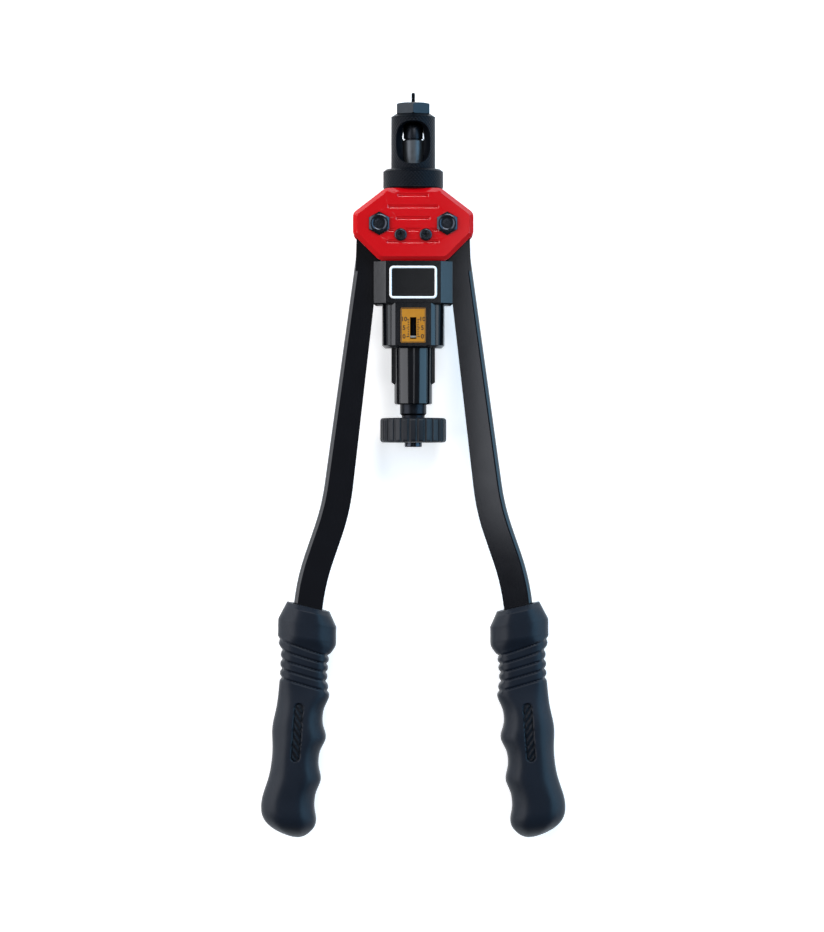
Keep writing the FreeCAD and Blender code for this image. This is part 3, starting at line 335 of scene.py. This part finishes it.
def mandrel():
    """Turned about the tool's axis: the radius is a chain of straight runs in y, less, over the thread's
    length, the depth times a ridge wave of y over the pitch minus the turn's share of a full turn."""
    low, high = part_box("mandrel")
    radius_here = [3.2, 3.2, 4.9, 4.9, 5.6, 5.6, 5.2, 3.4, 0.9, 0.9, 1.2]
    height_here = [0.0, 11.5, 11.5, 12.1, 12.3, 19.2, 20.0, 20.9, 21.1, 32.9, 32.9]
    thread_foot = high.y - THREAD_LENGTH
    y_plain = low.y + np.array(height_here) * MM
    y_thread = np.linspace(thread_foot, high.y - 0.3 * MM, THREAD_ROWS)
    y = np.concatenate([y_plain, y_thread, [high.y]])
    radius = np.concatenate([np.array(radius_here) * MM, np.full(THREAD_ROWS, THREAD_R), [0.75 * MM]])
    turn = np.linspace(0, 1, 40, endpoint=False)
    phase = (y[:, None] - thread_foot) / THREAD_PITCH - turn[None, :]
    ridge = 1 - np.abs(2 * (phase % 1) - 1)
    threaded = (y[:, None] > thread_foot + 0.1 * MM) & (y[:, None] < high.y - 0.01 * MM)
    r = radius[:, None] - THREAD_DEPTH * ridge * threaded
    angle = 2 * math.pi * turn
    return np.stack([r * np.cos(angle), np.broadcast_to(y[:, None], r.shape), AXIS_Z + r * np.sin(angle)], -1)


piece = grid_piece("mandrel_threaded", mandrel(), caps=(0, -1))
piece.data.set_sharp_from_angle(angle=math.radians(32))
fit(piece, turned_black)
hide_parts("mandrel")
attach(piece, "draw_spindle")


# ----------------------------------------------------------------------------------------------------- levers
# Drop forged bars, trimmed and dressed, then dipped in the same black as the body but thinner, so the long
# faces keep slow ripples and the dressed edges carry a bright line.

lever_enamel = gloss_enamel("black_gloss_enamel_on_forged_steel", ("07080d", "0b0d13"), 0.09, 9.0, 0.01)
for side in ("left", "right"):
    fit(edge_broken(side + "_lever", 0.7 * MM), lever_enamel)


# ----------------------------------------------------------------------------------------------------- covers
# Zinc die castings in red gloss enamel. The die's draft and the enamel soften every edge, and the sunk bars
# catch the light on their lower walls.

red_enamel = gloss_enamel("red_gloss_enamel_on_zinc", ("c2060f", "cb0b14"), 0.09, 2.2, 0.01)
for side in ("front", "rear"):
    fit(edge_broken(side + "_cover", 0.18 * MM), red_enamel)

BARS = [(18.4, 16.2), (30.0, 9.5), (20.2, 2.8), (30.0, -3.9), (30.6, -10.6)]      # length and station of each
BAR_HEIGHT = 2.6 * MM
PIVOT_LINE_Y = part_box("pivot_bolts")[0].y / 2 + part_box("pivot_bolts")[1].y / 2


def rounded_loop(width, height, radius, middle, z):
    """Points round a rectangle with round corners, each being its centre plus the radius at even angles."""
    quarter = np.linspace(0, math.pi / 2, 9)
    turn = np.concatenate([quarter + n * math.pi / 2 for n in range(4)])
    corner = np.repeat(np.array([[1, 1], [-1, 1], [-1, -1], [1, -1]]), 9, 0)
    x = middle[0] + corner[:, 0] * (width / 2 - radius) + radius * np.cos(turn)
    y = middle[1] + corner[:, 1] * (height / 2 - radius) + radius * np.sin(turn)
    return np.stack([x, y, np.full_like(x, z)], -1)


def sunk_bar(side, length, station):
    """The draft of one sunk bar: loops of its outline stepped inwards by up to 0.9 mm, which sink by a
    quarter sine wave of the step, so that the walls run into the floor as a cove."""
    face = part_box("front_cover")[1].z if side > 0 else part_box("rear_cover")[0].z
    middle = (0.0, PIVOT_LINE_Y + station * MM)
    loops = []
    for step in np.linspace(0.02, 1, 10):
        inset = 0.9 * MM * step
        corner = BAR_HEIGHT * 0.45 - inset * 0.7
        loop = rounded_loop(length * MM - 2 * inset, BAR_HEIGHT - 2 * inset, corner, middle, face)
        loop[:, 2] -= side * (0.06 + 0.37 * math.sin(math.pi / 2 * step)) * MM
        loops.append(loop)
    return grid_piece("sunk_bar_draft", np.stack(loops[::side]), caps=(-1,) if side > 0 else (0,))


for side in (1, -1):
    for length, station in BARS:
        cove = sunk_bar(side, length, station)
        fit(cove, red_enamel)
        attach(cove, "frame")


# ----------------------------------------------------------------------------------------------------- screws
# Cold headed steel in black zinc: cross recess screws for the covers, and small-head hexagon bolts, whose
# rims round the dished tops are polished by the spanner.

black_zinc = worked_metal("black_zinc_on_steel", ("2c2f35", "3f434b"), 0.2, 0.35, 0.04, 0.9)
for node, slot in (("pivot_bolts", "bolt_black"), ("pivot_nuts", "bolt_black"),
                   ("front_cover_screws", "screw_black"), ("rear_cover_screws", "screw_black"),
                   ("knob_screw", "screw_black")):
    fit(edge_broken(node, 0.26 * MM), black_zinc)


DISH_R = 4.28 * MM
DISH_DEPTH, DISH_RISE = 0.66 * MM, 0.56 * MM


def dished_top(x):
    """The dish of a bolt's head, turned about the bolt: it rises by the sixth power of the radius."""
    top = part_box("pivot_bolts")[1].z
    share = np.linspace(1, 0.04, 14)[:, None]
    angle = np.linspace(0, 2 * math.pi, 48, endpoint=False)[None, :]
    height = top - DISH_DEPTH + DISH_RISE * share ** 6 + 0 * angle
    radius = DISH_R * share
    return np.stack([x + radius * np.cos(angle), PIVOT_LINE_Y + radius * np.sin(angle), height], -1)


def cross_recess(x, side):
    """A cross recess: its outline is 12 corners, stepped inwards and down by equal shares to a blunt end."""
    arm, half = 2.05 * MM, 0.5 * MM
    corners = [(arm, -half), (arm, half), (half, half), (half, arm), (-half, arm), (-half, half)]
    outline = np.array(corners + [(-a, -b) for a, b in corners])
    node = "front_cover_screws" if side > 0 else "rear_cover_screws"
    low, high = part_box(node)
    face, y = (high.z if side > 0 else low.z), (low.y + high.y) / 2
    loops = []
    for share in np.linspace(0, 1, 6):
        flat = outline * (1 - 0.8 * share)
        loops.append(np.column_stack([x + flat[:, 0], y + flat[:, 1],
                                      np.full(12, face - side * (0.12 + 1.2 * share) * MM)]))
    return np.stack(loops[::side])


PIVOT_X = 19.6 * MM
SCREW_X = 7.26 * MM
# The cross recesses get a much darker, rougher and less metallic black than the heads: painted shade in the
# recess, not a different finish.
painted_shade_recess_zinc = worked_metal("black_zinc_darkened_as_painted_recess_shade", ("06070a", "0a0b0e"), 0.7, 0.35, 0.05, 0.2)
for x in (-PIVOT_X, PIVOT_X):
    dish = grid_piece("bolt_dish", dished_top(x), caps=(-1,))
    fit(dish, black_zinc)
    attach(dish, "frame")
for x in (-SCREW_X, SCREW_X):
    for side in (1, -1):
        recess = grid_piece("screw_recess", cross_recess(x, side), caps=(-1,) if side > 0 else (0,))
        fit(recess, painted_shade_recess_zinc)
        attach(recess, "frame")


# --------------------------------------------------------------------------------- knurled sleeve and locknut
# Turned steel with a diamond knurl pressed in by a pair of wheels, then black oxide. The knurl is two sets of
# crossing helical grooves, so it stands as rows of small blunt pyramids.

KNURL_PITCH = 1.1 * MM
KNURL_DEPTH = 0.2 * MM
COLUMNS_PER_DIAMOND = 6


def knurled(profile, knurl_rows):
    """Turned about the tool's axis from (radius, y) corners. Between the two knurl rows the outside is split
    finely and sunk by the depth times one minus the product of two sine waves, one along each helix."""
    high_r = max(r for r, y in profile)
    diamonds = round(2 * math.pi * high_r / KNURL_PITCH)
    first, last = knurl_rows
    (r0, y0), (r1, y1) = profile[first], profile[last]
    steps = max(int(abs(y1 - y0) / KNURL_PITCH * COLUMNS_PER_DIAMOND), 2)
    share = np.linspace(0, 1, steps + 1)
    before, beyond = profile[:first], profile[last + 1:]
    radius = np.concatenate([[r for r, y in before], r0 + (r1 - r0) * share, [r for r, y in beyond]])
    y = np.concatenate([[y for r, y in before], y0 + (y1 - y0) * share, [y for r, y in beyond]])
    inside = np.zeros(len(y))
    inside[first:first + steps + 1] = np.clip(np.minimum(share, 1 - share) * steps / 3, 0, 1)
    turn = np.linspace(0, 1, diamonds * COLUMNS_PER_DIAMOND, endpoint=False)
    along = (y[:, None] - y0) / KNURL_PITCH
    around = turn[None, :] * diamonds
    pyramid = np.abs(np.sin(math.pi * (around + along) / 2) * np.sin(math.pi * (around - along) / 2))
    r = radius[:, None] - KNURL_DEPTH * inside[:, None] * (1 - pyramid)
    angle = 2 * math.pi * turn
    return np.stack([r * np.cos(angle), np.broadcast_to(y[:, None], r.shape), AXIS_Z + r * np.sin(angle)], -1)


def ring_piece(name, points):
    """A turned ring: the grid's last row joins its first, which closes the bore to the outside."""
    return grid_piece(name, np.concatenate([points, points[:1]]))


sleeve_low, sleeve_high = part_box("nose_sleeve")
nut_low, nut_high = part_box("nose_locknut")
SLEEVE_R = sleeve_high.x
NUT_R = nut_high.x
SPIGOT_R = 10.0 * MM
BORE_R = 6.1 * MM
oxide = worked_metal("black_oxide_on_knurled_steel", ("0a0c11", "12161c"), 0.42, 0.3, 0.1, 0.25)
oxide.node_tree.nodes["Principled BSDF"].inputs["Specular IOR Level"].default_value = 0.08

nut = ring_piece("locknut_knurled", knurled([
    (SPIGOT_R + 0.05 * MM, nut_low.y), (NUT_R - 0.7 * MM, nut_low.y), (NUT_R, nut_low.y + 0.7 * MM),
    (NUT_R, nut_high.y - 1.3 * MM), (NUT_R - 1.7 * MM, nut_high.y), (SPIGOT_R + 0.05 * MM, nut_high.y),
], (2, 3)))
nut.data.set_sharp_from_angle(angle=math.radians(62))
fit(nut, oxide)
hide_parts("nose_locknut")
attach(nut, "locknut")


def window_plug(side, foot_y, top_y):
    """The flared plug that a window leaves: an oval with straight sides, which grows by 0.6 mm at each end,
    and at its sides by the square root of the depth, to 10 mm wider outside than at the bore."""
    turn = np.linspace(0, 2 * math.pi, 72, endpoint=False)
    depth = np.linspace(0, 1, 9)[:, None]
    half_width = (12.9 / 2 + 5.0 * np.sqrt(depth)) * MM
    half_length = (top_y - foot_y) / 2 + 0.6 * MM * depth
    square = 2 / 2.6
    across = np.sign(np.cos(turn)) * np.abs(np.cos(turn)) ** square * half_width
    along = (foot_y + top_y) / 2 + np.sign(np.sin(turn)) * np.abs(np.sin(turn)) ** square * half_length
    height = AXIS_Z + side * (2.0 * MM + (SLEEVE_R - 1.0 * MM) * depth) + 0 * across
    return grid_piece("window_plug", np.stack([across, along, height], -1), caps=(0, -1))


SHOULDER_Y = nut_high.y + 0.1 * MM
CHAMFER = 1.7 * MM
WINDOW_FOOT = SHOULDER_Y + 3.3 * MM
ANVIL_SEAT_R, ANVIL_SEAT_Y = 8.0 * MM, sleeve_high.y - 4.5 * MM
RELIEF_R, RELIEF_TOP_Y, RELIEF_FOOT_Y = 6.7 * MM, sleeve_high.y - 8.3 * MM, sleeve_high.y - 14.5 * MM
sleeve = ring_piece("sleeve_knurled", knurled([
    (BORE_R, sleeve_low.y), (SPIGOT_R, sleeve_low.y),
    (SPIGOT_R, SHOULDER_Y), (SLEEVE_R - 0.3 * MM, SHOULDER_Y),
    (SLEEVE_R, SHOULDER_Y + 0.3 * MM), (SLEEVE_R, sleeve_high.y - CHAMFER),
    (SLEEVE_R - 2.6 * MM, sleeve_high.y), (ANVIL_SEAT_R, sleeve_high.y),
    (ANVIL_SEAT_R, ANVIL_SEAT_Y), (BORE_R, ANVIL_SEAT_Y),
    (BORE_R, RELIEF_TOP_Y), (RELIEF_R, RELIEF_TOP_Y),
    (RELIEF_R, RELIEF_FOOT_Y), (BORE_R, RELIEF_FOOT_Y),
], (4, 5)))
for window_side, top in ((1, sleeve_high.y - 5.1 * MM), (-1, sleeve_high.y - 8.8 * MM)):
    plug = window_plug(window_side, WINDOW_FOOT, top)
    cut = sleeve.modifiers.new("window", "BOOLEAN")
    cut.object = plug
    cut.solver = "EXACT"
    bpy.context.view_layer.update()
    cut_mesh = bpy.data.meshes.new_from_object(sleeve.evaluated_get(bpy.context.evaluated_depsgraph_get()))
    sleeve.modifiers.clear()
    sleeve.data = cut_mesh
    bpy.data.objects.remove(plug)
sleeve.data.set_sharp_from_angle(angle=math.radians(45))
fit(sleeve, oxide)
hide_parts("nose_sleeve")
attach(sleeve, "nose")

anvil_steel = worked_metal("hardened_anvil_steel", ("25282b", "303438"), 0.32, 0.5, 0.04, 0.9)
fit(edge_broken("nose_anvil", 0.5 * MM), anvil_steel)


# --------------------------------------------------------------------------------- name plate and scale plate
# The name plate is a black film with a printed white line round it and is left blank. The scale is anodised
# aluminium, dyed yellow, with a printed ruler in millimetres of stroke beside its slot.

INK_THICKNESS = 0.06 * MM
INK_FOOT = 0.02 * MM          # how far an ink line's foot lies below the face it is printed on


def printed_line(name, width, height, radius, line, middle, z, thickness=INK_THICKNESS):
    """A raised line of ink round a rectangle: four loops, out and in, low and high, joined into a band."""
    wide = (width, height, radius)
    narrow = (width - 2 * line, height - 2 * line, radius - line)
    loops = [rounded_loop(*wide, middle, z - INK_FOOT), rounded_loop(*wide, middle, z + thickness),
             rounded_loop(*narrow, middle, z + thickness), rounded_loop(*narrow, middle, z - INK_FOOT)]
    return ring_piece(name, np.stack(loops))


def ink(name, colour, roughness):
    """Screen printed ink: a flat colour that thins unevenly, with the screen's fine tooth."""
    material, tree, shader = new_material(name)
    darker = "".join(f"{int(int(colour[n:n + 2], 16) * 0.94):02x}" for n in (0, 2, 4))
    two_tone(tree, shader, speckle(tree, 0.8, 2.0), (darker, colour), roughness)
    roughen(tree, shader, speckle(tree, 0.3, 1.0), 0.1, 0.1)
    return material


film_low, film_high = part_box("name_plate")
film_middle = ((film_low.x + film_high.x) / 2, (film_low.y + film_high.y) / 2)
polyester_film = gloss_enamel("black_polyester_film", ("08090a", "0d0e10"), 0.15, 4.0, 0.02)
fit(edge_broken("name_plate", 0.12 * MM), polyester_film)
BORDER_MARGIN = 0.5 * MM
border = printed_line("name_plate_border", film_high.x - film_low.x - BORDER_MARGIN,
                      film_high.y - film_low.y - BORDER_MARGIN, 2.4 * MM, 1.35 * MM, film_middle, film_high.z)
fit(border, ink("white_screen_ink", "ffffff", 0.5))
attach(border, "frame")

scale_low, scale_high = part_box("scale_plate")
scale_middle = ((scale_low.x + scale_high.x) / 2, (scale_low.y + scale_high.y) / 2)
anodised = worked_metal("yellow_anodised_aluminium", ("b87613", "c6851e"), 0.42, 0.5, 0.05, 0.25)
fit(edge_broken("scale_plate", 0.08 * MM), anodised)
black_ink = ink("black_screen_ink", "15120c", 0.5)
pointer_low, pointer_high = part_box("stroke_pointer")
ZERO_Y = (pointer_low.y + pointer_high.y) / 2


def printed_bar(name, x_low, x_high, y, line, z):
    """One tick of ink, a short closed bar with round ends."""
    return printed_fill(name, rounded_loop(x_high - x_low, line, line * 0.45, ((x_low + x_high) / 2, y), z))


def printed_fill(name, loop):
    """A filled outline of ink: the loop, the same loop raised, and a middle point on each."""
    raised = loop + np.array([0, 0, INK_THICKNESS])
    return grid_piece(name, np.stack([loop - np.array([0, 0, INK_FOOT]), raised]), caps=(0, -1))


def printed_number(name, words, x, y, height, z):
    """A number of ink, from the plain built-in type, turned into a mesh and put in place."""
    curve = bpy.data.curves.new(name, "FONT")
    curve.body = words
    curve.size = height / 0.7
    curve.offset = 0.07 * MM
    curve.align_x = "CENTER"
    curve.align_y = "CENTER"
    curve.extrude = 0.03 * MM
    curve.resolution_u = 3
    text = bpy.data.objects.new(name, curve)
    scene.collection.objects.link(text)
    bpy.context.view_layer.update()
    mesh = bpy.data.meshes.new_from_object(text.evaluated_get(bpy.context.evaluated_depsgraph_get()))
    bpy.data.objects.remove(text)
    piece = bpy.data.objects.new(name, mesh)
    places = np.empty(len(mesh.vertices) * 3, np.float32)
    mesh.vertices.foreach_get("co", places)
    places = places.reshape(-1, 3) + np.array([x, y, z], np.float32)
    mesh.vertices.foreach_set("co", places.ravel())
    scene.collection.objects.link(piece)
    return piece


TICK_START, SHORT_TICK, LONG_TICK = 2.3, 3.2, 3.9      # millimetres from the slot's middle
NUMBER_X = 5.3
prints = [printed_line("scale_border", 14.1 * MM, 19.7 * MM, 0.8 * MM, 0.35 * MM, scale_middle, scale_high.z)]
for side in (-1, 1):
    for stroke in range(11):
        long = stroke % 5 == 0
        reach = sorted((side * TICK_START * MM, side * (LONG_TICK if long else SHORT_TICK) * MM))
        prints.append(printed_bar(f"scale_tick_{side + 1}_{stroke}", *reach, ZERO_Y + stroke * MM, 0.45 * MM,
                                  scale_high.z))
        if long:
            prints.append(printed_number(f"scale_number_{side + 1}_{stroke}", str(stroke),
                                         side * NUMBER_X * MM, ZERO_Y + stroke * MM, 2.5 * MM,
                                         scale_high.z + 0.02 * MM))
for mark in prints:
    fit(mark, black_ink)
    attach(mark, "frame")


# ------------------------------------------------------------------------------------------------------- knob
# A turned steel knob with milled flutes, in black enamel that has gone satin in the flutes.

knob_enamel = gloss_enamel("black_enamel_on_milled_steel", ("0b0e13", "12161d"), 0.45, 1.5, 0.08)
knob_enamel.node_tree.nodes["Principled BSDF"].inputs["Specular IOR Level"].default_value = 0.36
fit(edge_broken("knob", 0.35 * MM), knob_enamel)


# ------------------------------------------------------------------------------------------------------ grips
# Moulded rubber sleeves pushed over the lever ends. The mould gives a bevelled collar, five slanting grooves
# for the thumb, four finger swells on the inside, a sunk pill with slanting ribs, and a tail that flares out.

GRIP_TILT = math.radians(5.5)
MOUTH_LEAN = math.radians(8.0)
MOUTH_X, MOUTH_Y = 61.6 * MM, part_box("right_lever")[1].y - 230.7 * MM
GRIP_LENGTH = 134.0
GROOVES = 23.8 + 5.15 * np.arange(5)
FINGER_PITCH = 24.4
FIRST_FINGER = 50.4
FINGER_HEIGHTS = (2.3, 3.1, 2.5, 2.1)
RIB_PITCH = 4.3
PILL_START, PILL_MIDDLE, PILL_END = 58.5, 72.6, 86.8
PILL_OFFSET, PILL_LEAN = 1.5, 0.022
PILL_EDGE = 2.75
TAIL_TIP = 5.75               # how far the tail's tip lies from the grip's own axis, towards the tool's


def ease(a, b, start, end, s):
    """From a to b as s goes from start to end, by the smooth step 3 t squared less 2 t cubed."""
    t = np.clip((s - start) / (end - start), 0, 1)
    return a + (b - a) * t * t * (3 - 2 * t)


def swell(height, middle, width, s):
    """A bell: the height times e to the minus square of the distance from its middle over its width."""
    return height * np.exp(-((s - middle) / width) ** 2)


def round_off(half, tip, start, flat, corner, s):
    """Brings a half width in to the tail's tip. From start on, what it stands out past the tip is multiplied
    by one minus t to the flat, all to the corner, where t goes from nought to one at the grip's end."""
    t = np.clip((s - start) / (GRIP_LENGTH + 0.1 - start), 0, 1)
    return tip + (half - tip) * np.clip(1 - t ** flat, 0, 1) ** corner


def outer_half(s):
    """Half the width away from the tool: the bevelled collar, the waist, a low swell for the palm and a high
    one before the tail."""
    half = ease(15.4, 12.6, 19, 29, s) + ease(0.7, 0, 10, 19, s) - 4.1 * np.clip(1 - s / 10, 0, 1)
    half = half - ease(0, 0.8, 26, 46, s) + swell(1.6, 71.5, 10, s) + swell(3.8, 116, 13.5, s)
    return round_off(half, -TAIL_TIP, 118, 3.3, 0.76, s)


def inner_half(s):
    """Half the width towards the tool: the bevelled collar, the waist, and finger swells at an even pitch."""
    half = ease(18.8, 15.5, 19, 28, s) - ease(0.6, 0, 9, 19, s) - 4.8 * np.clip(1 - s / 8.5, 0, 1)
    half = half - ease(0, 0.5, 48, 60, s)
    for finger, height in enumerate(FINGER_HEIGHTS):
        half = half + swell(height, FIRST_FINGER + FINGER_PITCH * finger, 6.2, s)
    return round_off(half, TAIL_TIP, 126, 1.8, 0.46, s)


def from_pill(s, across):
    """How far a place on the grip is from the pill's centre line, which leans a little across the grip."""
    beyond = s - np.clip(s, PILL_START, PILL_END)
    return np.hypot(beyond, across + PILL_OFFSET + PILL_LEAN * (s - PILL_MIDDLE))


def grip_surface():
    """The right grip, rows from the socket's floor out over the mouth and down to the tail, at s millimetres
    from the mouth. A section is a rounded octagon: the radius that makes the 14-norm of (across, up, their
    sum over the cut) equal one. Grooves and the pill are sunk along it as bells and smooth steps of the
    distance to them. The grooves run out at the section's corners, by a bell of how far out a point is."""
    s = np.concatenate([np.linspace(0, 3, 10), np.linspace(3.4, GRIP_LENGTH - 9, 320),
                        GRIP_LENGTH - 9 * np.cos(np.linspace(0.03, math.pi / 2 - 0.02, 34))])[:, None]
    turn = 2 * math.pi * np.linspace(0, 1, 200, endpoint=False)[None, :]
    outer, inner = outer_half(s), inner_half(s)
    thick = 12.9 + ease(2.5, 0, 17, 25, s) + ease(0, 2.3, 45, 75, s) - 2.0 * np.clip(1 - s / 2.6, 0, 1)
    thick = thick * np.sqrt(np.clip(1 - np.clip((s - GRIP_LENGTH + 16) / 16.05, 0, 1) ** 2.4, 0, 1))
    half, middle = (outer + inner) / 2, (outer - inner) / 2

    c, d = np.abs(np.cos(turn)), np.abs(np.sin(turn))
    cut = 1.46 + ease(0, 0.2, 18, 26, s) - ease(0, 0.16, 44, 62, s)
    norm = (c ** 14 + d ** 14 + ((c + d) / cut) ** 14) ** (1 / 14)
    out_x, out_z = np.cos(turn) / norm, np.sin(turn) / norm
    across, up = middle + half * out_x, thick * out_z

    slant = s + across * math.tan(math.radians(10.5))
    side = ease(0, 1, 0.62, 0.95, np.abs(out_x))
    groove = sum(np.exp(-((slant - g) / (0.52 + 0.65 * side)) ** 2) for g in GROOVES) * (0.8 + 0.35 * side)
    groove = groove * (1 - swell(0.85, 0.79, 0.11, np.abs(out_x)))
    pill_far = from_pill(s, across)
    pill = ease(1, 0, 2.4, 3.0, pill_far) * (np.abs(out_z) > 0.8)
    wave = np.sin(2 * math.pi * (s + across * 1.2) / RIB_PITCH)
    ribs = ease(0, 1, -0.3, 0.4, wave) * ease(1, 0, 1.7, 2.4, pill_far)
    sunk = groove + pill * (1.1 - 0.65 * ribs)
    across, up = across - sunk * out_x, up - sunk * out_z

    lean = GRIP_TILT + MOUTH_LEAN * np.clip(1 - s / 36, 0, 1)
    x = MOUTH_X + MM * (s * math.sin(GRIP_TILT) + across * np.cos(lean))
    y = MOUTH_Y + MM * (-s * math.cos(GRIP_TILT) + across * np.sin(lean))
    skin = np.stack([x, y, AXIS_Z + MM * up], -1)
    socket = []
    for depth in (7.0, 0.5, 0.0):
        a = np.clip(12.5 * np.cos(turn[0]), -8.9, 8.9) - 0.2
        b = np.clip(12.5 * np.sin(turn[0]), -5.3, 5.3)
        angle = GRIP_TILT + MOUTH_LEAN
        socket.append(np.stack([MOUTH_X + MM * (depth * math.sin(GRIP_TILT) + a * math.cos(angle)),
                                MOUTH_Y + MM * (-depth * math.cos(GRIP_TILT) + a * math.sin(angle)),
                                AXIS_Z + MM * b], -1))
    return np.concatenate([np.stack(socket), skin])


rubber, rubber_tree, rubber_shader = new_material("moulded_rubber_with_spark_grain")
two_tone(rubber_tree, rubber_shader, speckle(rubber_tree, 18.0, 3.0), ("0d131c", "121a25"), 0.45)
roughen(rubber_tree, rubber_shader, speckle(rubber_tree, 0.9, 3.0), 0.25, 0.15)
rubber_shader.inputs["Specular IOR Level"].default_value = 0.24
# The sunk pill's faces get a darker, rougher and less shiny rubber than the rest of the grip.
darker_pill_rubber, darker_pill_tree, darker_pill_shader = new_material("darker_rubber_of_the_sunk_pill")
two_tone(darker_pill_tree, darker_pill_shader, speckle(darker_pill_tree, 2.0, 2.0), ("0a0e14", "0e141c"), 0.5)
darker_pill_shader.inputs["Specular IOR Level"].default_value = 0.16


def mark_pill(grip, mirror):
    """Gives the faces inside the pill the second material. A face's place along and across the grip comes
    from its middle, turned back by the grip's tilt."""
    for face in grip.data.polygons:
        x, y = (face.center.x * mirror - MOUTH_X) / MM, (face.center.y - MOUTH_Y) / MM
        s = x * math.sin(GRIP_TILT) - y * math.cos(GRIP_TILT)
        across = x * math.cos(GRIP_TILT) + y * math.sin(GRIP_TILT)
        if from_pill(s, across) < PILL_EDGE and abs(face.center.z - AXIS_Z) > 8 * MM:
            face.material_index = 1


right_skin = grip_surface()
for side, mirror in (("right", 1), ("left", -1)):
    grip = grid_piece(side + "_grip_moulded", right_skin * np.array([mirror, 1, 1]), caps=(0, -1))
    grip.data.set_sharp_from_angle(angle=math.radians(40))
    fit(grip, rubber)
    grip.data.materials.append(darker_pill_rubber)
    mark_pill(grip, mirror)
    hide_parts(side + "_grip")
    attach(grip, side + "_arm")

bpy.context.view_layer.update()
